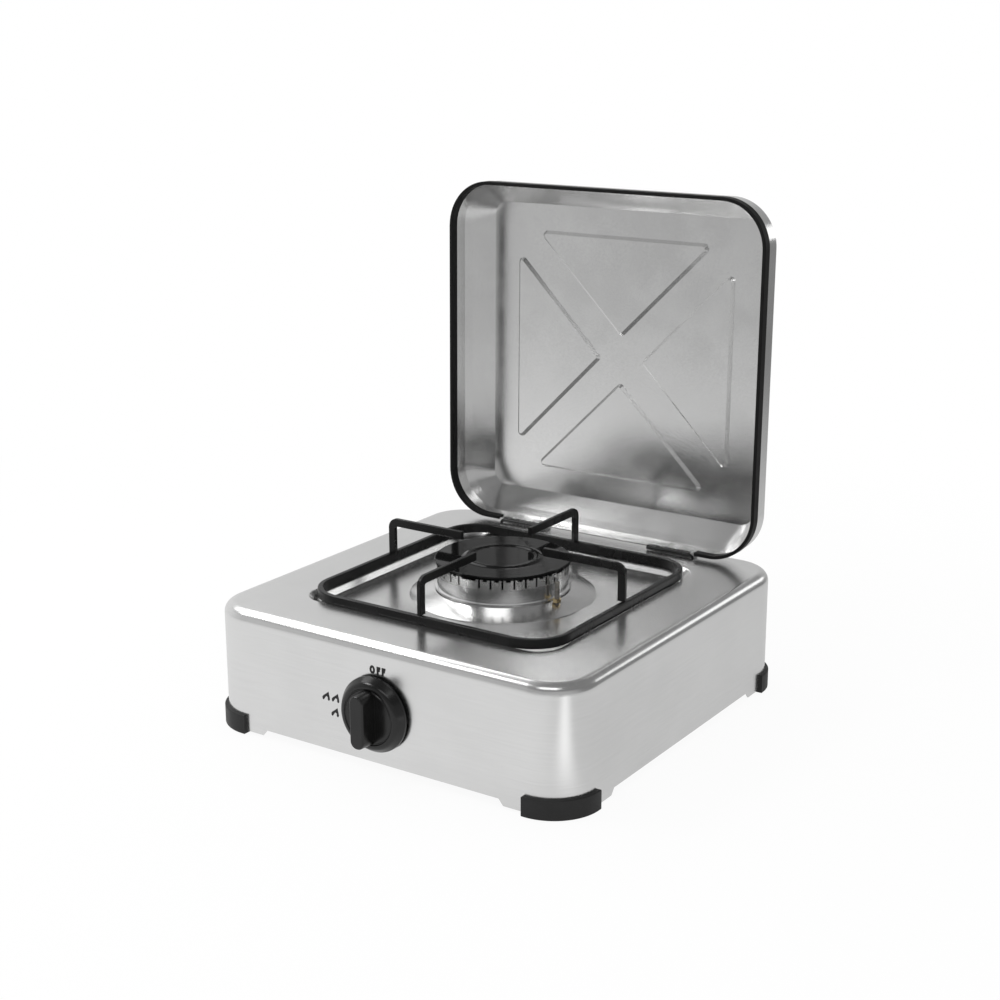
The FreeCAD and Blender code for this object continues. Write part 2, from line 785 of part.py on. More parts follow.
def build_mixing_tube():
    """The tube from the air mouth in front to the bowl's throat, with its air windows."""
    tube = new_body("mixing_tube")
    top = "(%s - bowl_neck_depth - bowl_cone_depth - bowl_wall - rest_gap)" % CONE_CREST
    path = new_sketch(tube, "YZ_Plane")
    outline(path, [
        ("-" + TUBE_MOUTH, "knob_height"),
        ("0", "knob_height", "tube_bend"),
        ("0", top),
    ], closed=False)
    doc.recompute()
    for radius, cut in (("tube_radius", False), ("tube_radius - tube_wall", True)):
        section = new_sketch(tube, "XZ_Plane", lift=TUBE_MOUTH)
        circle(section, radius, up="knob_height")
        sweep(tube, section, path, cut=cut)
    window = new_sketch(tube, "YZ_Plane")
    rectangle(window, "window_length", "window_width",
              across="-%s + mouth_length / 2" % TUBE_MOUTH, up="knob_height")
    extrude(tube, window, "2 * tube_radius + 4", cut=True, both=True)
    return tube


def build_shutter():
    """The collar that turns on the tube's mouth to open or close the air windows."""
    shutter = new_body("air_shutter", y="-%s + mouth_length / 2" % TUBE_MOUTH, z="knob_height",
                       axis=Vector(1, 0, 0), angle="90")
    sketch = new_sketch(shutter, lift="-shutter_length / 2")
    circle(sketch, "tube_radius + running_gap")
    circle(sketch, "tube_radius + running_gap + shutter_wall")
    extrude(shutter, sketch, "shutter_length")
    window = new_sketch(shutter, "YZ_Plane")
    rectangle(window, "window_width", "window_length", across="0", up="0")
    extrude(shutter, window, "2 * tube_radius + 8", cut=True, both=True)
    return shutter


def build_bracket():
    """The strip under the mixing tube, hung by its two legs from the dish."""
    bracket = new_body("burner_bracket", y="-saddle_setback", z=DISH_FLOOR + " - casing_wall")
    foot = "(knob_height - tube_radius - plate_height + dish_depth + casing_wall)"
    sketch = new_sketch(bracket, "XZ_Plane")
    half = "(bracket_span / 2)"
    outline(sketch, [
        ("-%s - bracket_flange" % half, "0"),
        ("-%s - bracket_flange" % half, "-bracket_thickness"),
        ("-%s" % half, "-bracket_thickness"),
        ("-%s" % half, foot + " - bracket_thickness"),
        (half, foot + " - bracket_thickness"),
        (half, "-bracket_thickness"),
        (half + " + bracket_flange", "-bracket_thickness"),
        (half + " + bracket_flange", "0"),
        (half + " - bracket_thickness", "0"),
        (half + " - bracket_thickness", foot),
        ("-%s + bracket_thickness" % half, foot),
        ("-%s + bracket_thickness" % half, "0"),
    ])
    extrude(bracket, sketch, "bracket_width", both=True)
    holes = new_sketch(bracket, lift=foot)
    for side in (-1, 1):
        circle(holes, "screw_radius + screw_play", across="%d * (tube_radius + saddle_wing / 2 + 1)" % side)
    extrude(bracket, holes, "bracket_thickness + 1", cut=True)
    return bracket


def build_saddle():
    """The strap over the mixing tube, with a screwed wing on each side."""
    saddle = new_body("tube_saddle", y="-saddle_setback", z="knob_height")
    inner = "(tube_radius + running_gap)"
    outer = "(tube_radius + running_gap + saddle_thickness)"
    wing = "(%s + saddle_wing)" % outer
    for side, extra, cut in ((outer, wing, False), (inner, inner, True)):
        sketch = new_sketch(saddle, "XZ_Plane")
        base = "-tube_radius" + (" - 1" if cut else "")
        outline(sketch, [
            ("-" + extra, base),
            (extra, base),
            (extra, "-tube_radius + saddle_thickness"),
            (side, "-tube_radius + saddle_thickness"),
            (side, side, side + " - %s" % TOUCH),
            ("-" + side, side, side + " - %s" % TOUCH),
            ("-" + side, "-tube_radius + saddle_thickness"),
            ("-" + extra, "-tube_radius + saddle_thickness"),
        ] if not cut else [
            ("-" + side, base),
            (side, base),
            (side, side, side + " - %s" % TOUCH),
            ("-" + side, side, side + " - %s" % TOUCH),
        ])
        extrude(saddle, sketch, "bracket_width / 2" + (" + 1" if cut else ""), cut=cut, both=True)
    holes = new_sketch(saddle, lift="-tube_radius + saddle_thickness")
    for side in (-1, 1):
        circle(holes, "screw_radius + screw_play", across="%d * (tube_radius + saddle_wing / 2 + 1)" % side)
    extrude(saddle, holes, "saddle_thickness + 1", cut=True)
    return saddle


def build_screws(name, centres, grip, **where):
    """A group of pan-head screws whose heads sit on z = 0 and whose shanks go down through the grip."""
    screws = new_body(name, **where)
    heads = new_sketch(screws)
    shanks = new_sketch(screws)
    for across, up in centres:
        circle(heads, "screw_head", across=across, up=up)
        circle(shanks, "screw_radius", across=across, up=up)
    extrude(screws, heads, "screw_head_height")
    extrude(screws, shanks, grip, back=True)
    top = level("screw_head_height")
    round_edges(screws, "screw_dome", top)
    return screws


# Lid

def lid_frame(label):
    """A sub-part of the lid, drawn closed about the hinge axis and laid open at rest."""
    body = new_body(label, y=HINGE_Y, z=HINGE_Z, axis=Vector(-1, 0, 0), angle="lid_open_angle")
    bind(body, "Placement.Rotation.Angle", "lid_open_angle")
    return body


def lid_section(lid, depth, inset, corner):
    """One rounded rectangle of the lid at a depth above the trim's face."""
    sketch = new_sketch(lid, lift="%s + %s" % (TRIM_FACE, depth), y=LID_CENTRE)
    rectangle(sketch, "%s - 2 * (%s)" % (LID_WIDTH, inset), "%s - 2 * (%s)" % (LID_LENGTH, inset), corner)
    return sketch


def triangle(lid, depth, spread):
    """A stiffening panel's rounded triangle, its point towards the lid's middle."""
    sketch = new_sketch(lid, lift="%s + %s" % (TRIM_FACE, depth), y=LID_CENTRE)
    slant = "(%s) * (1 + sqrt(2))" % spread
    outline(sketch, [
        ("0", "panel_near - (%s) * sqrt(2)" % spread, "panel_corner + (%s)" % spread),
        ("panel_half + " + slant, "panel_far + (%s)" % spread, "panel_corner + (%s)" % spread),
        ("-panel_half - " + slant, "panel_far + (%s)" % spread, "panel_corner + (%s)" % spread),
    ])
    return sketch


def build_lid():
    """The pressed lid pan: straight side, shoulder, bevel and a flat top with four raised panels."""
    lid = lid_frame("lid_shell")
    rim = "trim_web"
    shoulder = "(lid_side + lid_shoulder_height)"
    top = "(lid_side + lid_shoulder_height + lid_bevel_height)"
    for skin, cut in (("lid_wall", False), ("0", True)):
        edge = "(trim_skin + lid_wall - %s)" % skin
        loft(lid, [
            lid_section(lid, rim, edge, "lid_corner - " + edge),
            lid_section(lid, "lid_side", edge, "lid_corner - " + edge),
            lid_section(lid, "%s + %s" % (shoulder, skin), edge + " + lid_shoulder",
                        "lid_shoulder_corner + " + skin),
            lid_section(lid, "%s + %s" % (top, skin), edge + " + lid_shoulder + lid_bevel",
                        "lid_top_corner + " + skin),
        ], cut=cut)
    boss = loft(lid, [triangle(lid, top, "0"), triangle(lid, top + " - panel_rise", "-panel_bevel")])
    recess_top = triangle(lid, top + " + lid_wall", "-lid_wall * (sqrt(2) - 1)")
    recess_floor = triangle(lid, top + " + lid_wall - panel_rise", "-panel_bevel - lid_wall * (sqrt(2) - 1)")
    recess = loft(lid, [recess_top, recess_floor], cut=True)
    pattern(lid, [boss, recess], recess_top, "4")
    notch = new_sketch(lid, "XZ_Plane")
    for side in (-1, 1):
        rectangle(notch, "knuckle_length + 2 * rest_gap", "2 * (knuckle_radius + rest_gap + leaf_thickness)",
                  across="%d * (knuckle_start + knuckle_length / 2)" % side)
    extrude(lid, notch, "2 * (trim_skin + lid_wall + 1)", cut=True, both=True)
    holes = new_sketch(lid, "XZ_Plane")
    for across, up in rivet_centres():
        circle(holes, "rivet_radius + running_gap", across=across, up=up)
    extrude(lid, holes, "2 * (trim_skin + lid_wall + 1)", cut=True, both=True)
    return lid


def rivet_centres():
    """Where the hinge leaves are riveted to the lid's rear wall, two rivets to a leaf."""
    spots = []
    for side in (-1, 1):
        for place_along in ("rivet_inset", "knuckle_length - rivet_inset"):
            spots.append(("%d * (knuckle_start + %s)" % (side, place_along), "rivet_up"))
    return spots


def trim_section(trim, depth, outer, inner):
    """A closed strip that follows the lid's rim between two insets."""
    sketch = lid_section(trim, depth, outer, "lid_corner - " + outer)
    width = "%s - 2 * %s" % (LID_WIDTH, inner)
    length = "%s - 2 * %s" % (LID_LENGTH, inner)
    rectangle(sketch, width, length, "lid_corner - " + inner)
    return sketch


def build_trim():
    """The rubber channel over the lid's rim, left out along the hinged edge."""
    trim = lid_frame("lid_trim")
    extrude(trim, trim_section(trim, "0", "0", "(trim_skin + lid_wall + trim_lining)"), "trim_depth")
    slot = trim_section(trim, "trim_web", "trim_skin", "(trim_skin + lid_wall)")
    extrude(trim, slot, "trim_depth", cut=True, back=True)
    gap = new_sketch(trim, lift=TRIM_FACE + " - 1")
    rectangle(gap, "2 * trim_gap", "20", up="-hinge_to_rim")
    extrude(trim, gap, "trim_depth + 2", cut=True, back=True)
    round_edges(trim, "trim_edge", level(TRIM_FACE))
    return trim


def build_hinge(name, side):
    """A hinge leaf with its rolled knuckle, riveted outside the lid's rear wall."""
    leaf = lid_frame(name)
    start = "(%d * (knuckle_start + knuckle_length / 2))" % side
    wall = "(hinge_to_rim + trim_skin)"
    plate = new_sketch(leaf, "YZ_Plane", lift=start)
    outline(plate, [
        ("-%s" % wall, "0"),
        ("-%s + leaf_thickness" % wall, "0"),
        ("-%s + leaf_thickness" % wall, "leaf_height"),
        ("-%s" % wall, "leaf_height"),
    ])
    extrude(leaf, plate, "knuckle_length", both=True)
    knuckle = new_sketch(leaf, "YZ_Plane", lift=start)
    circle(knuckle, "knuckle_radius")
    extrude(leaf, knuckle, "knuckle_length", both=True)
    bore = new_sketch(leaf, "YZ_Plane", lift=start)
    circle(bore, "pin_radius + running_gap")
    extrude(leaf, bore, "knuckle_length + 2", cut=True, both=True)
    holes = new_sketch(leaf, "XZ_Plane")
    for across, up in rivet_centres():
        circle(holes, "rivet_radius + running_gap", across=across, up=up)
    extrude(leaf, holes, "2 * (trim_skin + lid_wall + 1)", cut=True, both=True)
    corners = measure("leaf_height")
    round_edges(leaf, "leaf_thickness * 2",
                lambda e: e.BoundBox.ZMin > corners - NEAR and e.BoundBox.XLength < NEAR)
    return leaf


def build_rivets():
    """Four flat-headed rivets through the hinge leaves and the lid's wall."""
    rivets = lid_frame("hinge_rivets")
    outer = "(-hinge_to_rim - trim_skin + leaf_thickness)"
    inner = "(-hinge_to_rim - trim_skin - lid_wall)"
    shank = new_sketch(rivets, "XZ_Plane", lift="-" + outer)
    near = new_sketch(rivets, "XZ_Plane", lift="-" + outer)
    far = new_sketch(rivets, "XZ_Plane", lift="-" + inner)
    for across, up in rivet_centres():
        circle(shank, "rivet_radius", across=across, up=up)
        circle(near, "rivet_head", across=across, up=up)
        circle(far, "rivet_head", across=across, up=up)
    extrude(rivets, shank, "leaf_thickness + lid_wall")
    extrude(rivets, near, "rivet_head_height", back=True)
    extrude(rivets, far, "rivet_head_height")
    return rivets


def build_hinge_pin(name, side):
    """A bent pin: one leg through the top plate and one along the knuckle."""
    pin = new_body(name, y=HINGE_Y, z=HINGE_Z)
    turn = "(%d * (knuckle_start + knuckle_length + pin_bend))" % side
    path = new_sketch(pin, "XZ_Plane")
    foot = "(-knuckle_radius - rest_gap - casing_wall - pin_tail)"
    outline(path, [
        (turn, foot),
        (turn, "0", "pin_bend"),
        ("%d * knuckle_start" % side, "0"),
    ], closed=False)
    section = new_sketch(pin, lift=foot)
    circle(section, "pin_radius", across=turn)
    doc.recompute()
    sweep(pin, section, path)
    return pin


def build_push_nuts():
    """The two washers pressed on the hinge pins' legs under the top plate."""
    nuts = new_body("pin_push_nuts", y=HINGE_Y, z="plate_height - casing_wall")
    sketch = new_sketch(nuts)
    for side in (-1, 1):
        across = "%d * (knuckle_start + knuckle_length + pin_bend)" % side
        circle(sketch, "push_nut_radius", across=across)
        circle(sketch, "pin_radius + running_gap", across=across)
    extrude(nuts, sketch, "push_nut_height", back=True)
    return nuts


# Knob and valve, drawn along +Z and turned so that this axis points out of the front panel

def front_frame(label):
    """A sub-part on the knob's axis, with z = 0 on the front panel and +Z towards the user."""
    return new_body(label, y="-" + PANEL_Y, z="knob_height", axis=Vector(1, 0, 0), angle="90")


def build_knob():
    """The moulded knob: a domed skirt, a flat hub and a tall grip, hollow behind."""
    knob = front_frame("knob")
    profile = new_sketch(knob, "XZ_Plane")
    outline(profile, [
        ("0", "knob_gap"),
        ("knob_radius", "knob_gap"),
        ("knob_radius", "knob_gap + knob_rim", "1"),
        ("knob_hub + knob_brow", "knob_gap + knob_dome", "knob_shoulder"),
        ("knob_hub + knob_groove", "knob_gap + knob_dome"),
        ("knob_hub", "knob_gap + knob_dome - knob_groove", "knob_groove / 2"),
        ("knob_hub - knob_groove", "knob_gap + knob_dome"),
        ("0", "knob_gap + knob_dome"),
    ])
    revolve(knob, profile)
    grip = new_sketch(knob, lift="knob_gap + knob_dome - 1")
    tip = new_sketch(knob, lift="knob_gap + knob_dome + grip_height")
    rectangle(grip, "grip_width + grip_taper", "grip_length", "grip_end")
    rectangle(tip, "grip_width", "grip_length - grip_taper", "grip_end")
    loft(knob, [grip, tip])
    face = level("knob_gap + knob_dome + grip_height")
    round_edges(knob, "grip_edge", face)
    hollow = new_sketch(knob, "XZ_Plane")
    roof = "(knob_gap + knob_dome - knob_roof)"
    outline(hollow, [
        ("knob_boss", "knob_gap - 1"),
        ("knob_radius - knob_skin", "knob_gap - 1"),
        ("knob_radius - knob_skin", "knob_gap + knob_rim"),
        ("knob_hub", roof),
        ("knob_boss", roof),
    ])
    revolve(knob, hollow, cut=True)
    mouth = new_sketch(knob, lift="knob_gap - 1")
    circle(mouth, "knob_boss + 1")
    extrude(knob, mouth, "1 + knob_boss_depth", cut=True, back=True)
    bore = new_sketch(knob, lift="knob_gap")
    outside = "insert_wall + 2 * running_gap"
    d_shape(bore, "shaft_radius + " + outside, "shaft_flat + " + outside)
    extrude(knob, bore, "knob_dome + grip_height - 3", cut=True, back=True)
    return knob


def d_shape(sketch, radius, flat):
    """A circle with one flat at its top, as on a control shaft."""
    half = math.sqrt(measure(radius) ** 2 - measure(flat) ** 2)
    angle = math.atan2(measure(flat), half)
    ring = Part.Circle(Vector(0, 0, 0), Vector(0, 0, 1), measure(radius))
    arc = sketch.addGeometry(Part.ArcOfCircle(ring, math.pi - angle, 2 * math.pi + angle), False)
    line = sketch.addGeometry(
        Part.LineSegment(Vector(half, measure(flat), 0), Vector(-half, measure(flat), 0)), False)
    sketch.addConstraint(Sketcher.Constraint("Coincident", arc, 2, line, 1))
    sketch.addConstraint(Sketcher.Constraint("Coincident", line, 2, arc, 1))
    sketch.addConstraint(Sketcher.Constraint("Coincident", arc, 3, -1, 1))
    sketch.addConstraint(Sketcher.Constraint("Horizontal", line))
    hold(sketch, "Radius", arc, size=radius)
    hold(sketch, "DistanceY", -1, 1, line, 1, size=flat)


def build_knob_insert():
    """The sprung steel sleeve in the knob's bore that grips the shaft's flat."""
    insert = front_frame("knob_insert")
    sketch = new_sketch(insert, lift="knob_gap + knob_boss_depth + 1")
    d_shape(sketch, "shaft_radius + insert_wall + running_gap", "shaft_flat + insert_wall + running_gap")
    extrude(insert, sketch, "shaft_flat_length - 3")
    bore = new_sketch(insert, lift="knob_gap + knob_boss_depth + 1")
    d_shape(bore, "shaft_radius + running_gap", "shaft_flat + running_gap")
    extrude(insert, bore, "shaft_flat_length", cut=True, back=True)
    return insert


SHAFT_TIP = "(knob_gap + knob_dome + grip_height - 3 - shaft_tip_gap)"
SHAFT_END = "(casing_wall + valve_bore_depth - push_travel - rest_gap)"
TANG_TIP = "(casing_wall + valve_bore_depth + tang_engagement)"


def build_spindle():
    """The steel shaft with its flat, its collar and the tang that turns the plug."""
    spindle = front_frame("valve_spindle")
    shaft = new_sketch(spindle, lift="-" + SHAFT_END)
    circle(shaft, "shaft_radius")
    extrude(spindle, shaft, SHAFT_END + " + " + SHAFT_TIP)
    collar = new_sketch(spindle, lift="-" + COLLAR_BACK)
    circle(collar, "collar_radius")
    extrude(spindle, collar, "collar_thickness")
    tang = new_sketch(spindle, lift="-" + TANG_TIP)
    rectangle(tang, "2 * shaft_radius - 1", "tang_width")
    extrude(spindle, tang, TANG_TIP + " - " + SHAFT_END)
    flat = new_sketch(spindle, lift=SHAFT_TIP)
    rectangle(flat, "4 * shaft_radius", "2 * shaft_radius", up="shaft_flat + shaft_radius")
    extrude(spindle, flat, "shaft_flat_length", cut=True)
    round_edges(spindle, "shaft_tip_chamfer", level(SHAFT_TIP), kind="Chamfer")
    return spindle


def build_thrust_washer():
    """The washer between the spindle's collar and the return spring."""
    washer = front_frame("thrust_washer")
    sketch = new_sketch(washer, lift="-(%s + rest_gap)" % COLLAR_BACK)
    circle(sketch, "washer_radius")
    circle(sketch, "shaft_radius + running_gap")
    extrude(washer, sketch, "washer_thickness", back=True)
    return washer


def build_spring():
    """The coil that pushes the spindle and the knob back out."""
    spring = front_frame("return_spring")
    back = "(casing_wall + valve_bore_depth - 2 * rest_gap - spring_wire / 2)"
    height = "(%s - %s - spring_wire / 2)" % (back, SPRING_FRONT)
    section = new_sketch(spring, "XZ_Plane")
    circle(section, "spring_wire / 2", across="spring_radius", up="-" + back)
    coil = spring.newObject("PartDesign::AdditiveHelix", "return_coil")
    coil.Profile = section
    coil.ReferenceAxis = (section, ["V_Axis"])
    coil.Mode = "height-turns-angle"
    bind(coil, "Height", height)
    coil.Turns = 4.0
    settle(spring, coil, True)
    return spring


def build_gland():
    """The ring in the valve's mouth that guides the spindle and keeps its collar in."""
    gland = front_frame("spindle_gland")
    sketch = new_sketch(gland, lift="-casing_wall")
    circle(sketch, "valve_bore - running_gap")
    circle(sketch, "shaft_radius + running_gap")
    extrude(gland, sketch, "gland_thickness", back=True)
    return gland


def build_valve():
    """The brass tap: a screwed flange, a bored barrel, a side inlet and a rear outlet."""
    valve = front_frame("valve_body")
    flange = new_sketch(valve, lift="-casing_wall")
    rectangle(flange, "flange_width", "flange_height", "flange_height / 2 - 1")
    extrude(valve, flange, "flange_thickness", back=True)
    barrel = new_sketch(valve, lift="-casing_wall")
    circle(barrel, "valve_radius")
    extrude(valve, barrel, "valve_length", back=True)
    outlet = new_sketch(valve, lift="-" + VALVE_END)
    circle(outlet, "outlet_radius")
    extrude(valve, outlet, "outlet_length", back=True)
    inlet = new_sketch(valve, "YZ_Plane")
    circle(inlet, "inlet_radius", up="-inlet_setback")
    extrude(valve, inlet, "inlet_reach")
    holes = new_sketch(valve, lift="-casing_wall")
    for side in (-1, 1):
        circle(holes, "screw_radius + running_gap", across="%d * screw_spacing / 2" % side)
    extrude(valve, holes, "flange_thickness + 1", cut=True)
    chamber = new_sketch(valve, "XZ_Plane")
    plug_end = "(casing_wall + valve_bore_depth + plug_length + rest_gap)"
    outline(chamber, [
        ("0", "-casing_wall + 1"),
        ("valve_bore", "-casing_wall + 1"),
        ("valve_bore", "-(casing_wall + valve_bore_depth)"),
        ("plug_large + running_gap", "-(casing_wall + valve_bore_depth)"),
        ("plug_small + running_gap", "-" + plug_end),
        ("jet_radius - 1", "-" + plug_end),
        ("jet_radius - 1", "-(%s + outlet_length + 1)" % VALVE_END),
        ("0", "-(%s + outlet_length + 1)" % VALVE_END),
    ])
    revolve(valve, chamber, cut=True)
    port = new_sketch(valve, "YZ_Plane", lift="plug_small")
    circle(port, "pipe_bore", up="-inlet_setback")
    extrude(valve, port, "inlet_reach", cut=True, back=True)
    return valve


def build_plug():
    """The tapered plug that the tang turns, with its slot and its gas way."""
    plug = front_frame("valve_plug")
    front = "(casing_wall + valve_bore_depth)"
    profile = new_sketch(plug, "XZ_Plane")
    outline(profile, [
        ("0", "-%s" % front),
        ("plug_large", "-%s" % front),
        ("plug_small", "-(%s + plug_length)" % front),
        ("0", "-(%s + plug_length)" % front),
    ])
    revolve(plug, profile)
    slot = new_sketch(plug, lift="-%s" % front)
    rectangle(slot, "2 * (shaft_radius + screw_play)", "plug_slot")
    extrude(plug, slot, "plug_slot_depth", cut=True)
    way = new_sketch(plug, lift="-(%s + plug_length)" % front)
    circle(way, "pipe_bore")
    extrude(plug, way, "plug_length - plug_slot_depth - 2", cut=True, back=True)
    side = new_sketch(plug, "XZ_Plane")
    circle(side, "plug_port", up="-inlet_setback")
    extrude(plug, side, "plug_large + 1", cut=True)
    return plug


def build_jet():
    """The hexagonal gas jet screwed on the valve's outlet."""
    jet = front_frame("gas_jet")
    sketch = new_sketch(jet, lift="-(%s + outlet_length)" % VALVE_END)
    hexagon(sketch, "outlet_radius")
    extrude(jet, sketch, "jet_length / 2", back=True)
    nose = new_sketch(jet, lift="-(%s + outlet_length)" % VALVE_END)
    circle(nose, "jet_radius")
    extrude(jet, nose, "jet_length", back=True)
    bore = new_sketch(jet, lift="-(%s + outlet_length)" % VALVE_END)
    circle(bore, "jet_bore")
    extrude(jet, bore, "jet_length + 1", cut=True)
    return jet


# Ignition

IGNITER_BACK = "(casing_wall + flange_thickness + screw_end + 1)"
IGNITER_X = "(-valve_radius - strap_thickness - igniter_width / 2 - rest_gap)"


def build_igniter():
    """The spark unit beside the valve, with the neck that its lead leaves by."""
    igniter = front_frame("spark_igniter")
    setback = IGNITER_BACK
    sketch = new_sketch(igniter, lift="-" + setback, x=IGNITER_X)
    rectangle(sketch, "igniter_width", "igniter_height", "1.5")
    extrude(igniter, sketch, "igniter_length", back=True)
    neck = new_sketch(igniter, lift="-(%s + igniter_length)" % setback, x=IGNITER_X)
    circle(neck, "igniter_neck")
    extrude(igniter, neck, "igniter_neck_length", back=True)
    return igniter


def build_strap():
    """The steel strap round the valve's barrel and the spark unit."""
    strap = front_frame("igniter_strap")
    for extra, cut in (("strap_thickness", False), ("0", True)):
        sketch = new_sketch(strap, lift="-(casing_wall + flange_thickness + strap_setback)")
        left = "%s - igniter_width / 2 - (%s)" % (IGNITER_X, extra)
        right = "valve_radius + (%s)" % extra
        half = "(valve_radius + (%s))" % extra
        outline(sketch, [
            (left, "-" + half, "2 + (%s)" % extra),
            (right, "-" + half, half + " - %s" % TOUCH),
            (right, half, half + " - %s" % TOUCH),
            (left, half, "2 + (%s)" % extra),
        ])
        extrude(strap, sketch, "strap_width" + (" + 1" if cut else ""), cut=cut, back=not cut)
    return strap


ELECTRODE_X = "(electrode_distance * cos(electrode_angle))"
ELECTRODE_Y = "(electrode_distance * sin(electrode_angle))"
ELECTRODE_FOOT = "(electrode_top - electrode_length)"


def build_electrode():
    """The white ceramic rod beside the flame ring."""
    electrode = new_body("spark_electrode", x=ELECTRODE_X, y=ELECTRODE_Y, z=ELECTRODE_FOOT)
    sketch = new_sketch(electrode)
    circle(sketch, "electrode_radius")
    extrude(electrode, sketch, "electrode_length")
    bore = new_sketch(electrode)
    circle(bore, "spark_wire + running_gap")
    extrude(electrode, bore, "electrode_length", cut=True, back=True, through=True)
    tip = level("electrode_length")
    round_edges(electrode, "electrode_edge",
                lambda e: tip(e) and e.BoundBox.XLength > measure("electrode_radius"))
    return electrode


def build_spark_wire():
    """The wire through the ceramic, bent over towards the flame ring."""
    wire = new_body("spark_wire", x=ELECTRODE_X, y=ELECTRODE_Y, z=ELECTRODE_FOOT)
    path = new_sketch(wire, "XZ_Plane")
    outline(path, [
        ("0", "-1"),
        ("0", "electrode_length + spark_rise", "2 * spark_wire"),
        ("-spark_reach", "electrode_length + spark_rise"),
    ], closed=False)
    section = new_sketch(wire, lift="-1")
    circle(section, "spark_wire")
    doc.recompute()
    sweep(wire, section, path)
    return wire


def build_electrode_nut():
    """The brass nut that clamps the electrode on the dish."""
    nut = new_body("electrode_nut", x=ELECTRODE_X, y=ELECTRODE_Y, z=CONE_CREST + " + rest_gap / 3")
    sketch = new_sketch(nut)
    hexagon(sketch, "electrode_nut")
    circle(sketch, "electrode_radius + running_gap")
    extrude(nut, sketch, "electrode_nut_height")
    return nut


def lead_route():
    """Points of the ignition lead, from the spark unit's neck to the electrode's foot."""
    neck_y = measure("-%s + %s + igniter_length + igniter_neck_length" % (PANEL_Y, IGNITER_BACK))
    start = Vector(measure(IGNITER_X), neck_y, measure("knob_height"))
    end = Vector(measure(ELECTRODE_X), measure(ELECTRODE_Y), measure(ELECTRODE_FOOT) - 1)
    low = measure("knob_height - lead_drop")
    return [
        start,
        start + Vector(0, measure("lead_first_run"), 0),
        Vector(start.x + 3, start.y + 24, low + 3),
        Vector(start.x + 22, start.y + 32, low),
        Vector(end.x - 22, end.y - 16, low + 3),
        Vector(end.x, end.y, low + 14),
        end,
    ]


def build_lead():
    """The insulated ignition lead, straight runs joined by tangent arcs."""
    points = lead_route()
    edges = []
    here = points[0]
    radii = []
    for before, corner, after in zip(points, points[1:], points[2:]):
        back = (before - corner).normalize()
        ahead = (after - corner).normalize()
        half = back.getAngle(ahead) / 2
        trim = LEAD_ARC_SHARE * min((before - corner).Length, (after - corner).Length)
        radius = trim * math.tan(half)
        radii.append(round(radius, 1))
        enter = corner + back * trim
        leave = corner + ahead * trim
        away = (back + ahead).normalize()
        middle = corner + away * (radius / math.sin(half) - radius)
        edges.append(Part.LineSegment(here, enter).toShape())
        edges.append(Part.Arc(enter, middle, leave).toShape())
        here = leave
    edges.append(Part.LineSegment(here, points[-1]).toShape())
    path = Part.Wire(edges)
    direction = (points[1] - points[0]).normalize()
    section = Part.Wire(Part.makeCircle(measure("lead_radius"), points[0], direction))
    lead = doc.addObject("Part::Feature", "ignition_lead")
    lead.Label = "ignition_lead"
    lead.Shape = path.makePipeShell([section], True, False)
    expected = math.pi * measure("lead_radius") ** 2 * path.Length
    share = lead.Shape.Volume / expected
    print("lead radii", radii, "length %.1f" % path.Length, "volume share %.4f" % share)
    return lead


# Gas inlet

def rear_frame(label):
    """A sub-part on the inlet's axis, with z = 0 on the rear panel and +Z pointing away from it."""
    return new_body(label, x="inlet_offset", y=PANEL_Y, z="knob_height", axis=Vector(1, 0, 0), angle="-90")


def build_hose_tail():
    """The brass inlet: a hexagon, a threaded stub through the rear panel and a grooved tail."""
    tail = rear_frame("gas_inlet_tail")
    hexa = new_sketch(tail)
    hexagon(hexa, "tail_hex")
    extrude(tail, hexa, "tail_hex_height")
    stub = new_sketch(tail)
    circle(stub, "tail_thread")
    extrude(tail, stub, "tail_thread_length", back=True)
    spigot = new_sketch(tail, "XZ_Plane")
    top = "(tail_hex_height + tail_length)"
    outline(spigot, [
        ("0", "tail_hex_height"),
        ("tail_radius", "tail_hex_height"),
        *[(radius, "tail_hex_height + tail_pitch * %d + (%s)" % (turn, along))
          for turn in (1, 2)
          for radius, along in (("tail_radius", "-tail_groove"),
                                ("tail_radius - tail_groove", "0"),
                                ("tail_radius", "tail_groove"))],
        ("tail_radius", top + " - 1"),
        ("tail_radius - 1", top),
        ("0", top),
    ])
    revolve(tail, spigot)
    bore = new_sketch(tail, lift=top)
    circle(bore, "tail_bore")
    extrude(tail, bore, top + " + tail_thread_length", cut=True)
    return tail


def build_locknut():
    """The nut on the inlet's thread inside the rear panel."""
    nut = rear_frame("gas_inlet_locknut")
    sketch = new_sketch(nut, lift="-casing_wall")
    hexagon(sketch, "tail_hex")
    circle(sketch, "tail_thread + running_gap")
    extrude(nut, sketch, "locknut_height", back=True)
    return nut


PIPE_REAR = "(body_depth / 2 - tail_thread_length)"
PIPE_FRONT = "(body_depth / 2 - inlet_setback)"


def build_pipe():
    """The gas pipe from the inlet forward and round to the side of the valve."""
    pipe = new_body("feed_pipe", z="knob_height")
    path = new_sketch(pipe)
    outline(path, [
        ("inlet_offset", PIPE_REAR),
        ("inlet_offset", "-" + PIPE_FRONT, "pipe_bend"),
        ("inlet_reach", "-" + PIPE_FRONT),
    ], closed=False)
    doc.recompute()
    for radius, cut in (("pipe_radius", False), ("pipe_bore", True)):
        section = new_sketch(pipe, "XZ_Plane", lift="-" + PIPE_REAR)
        circle(section, radius, across="inlet_offset")
        sweep(pipe, section, path, cut=cut)
    return pipe


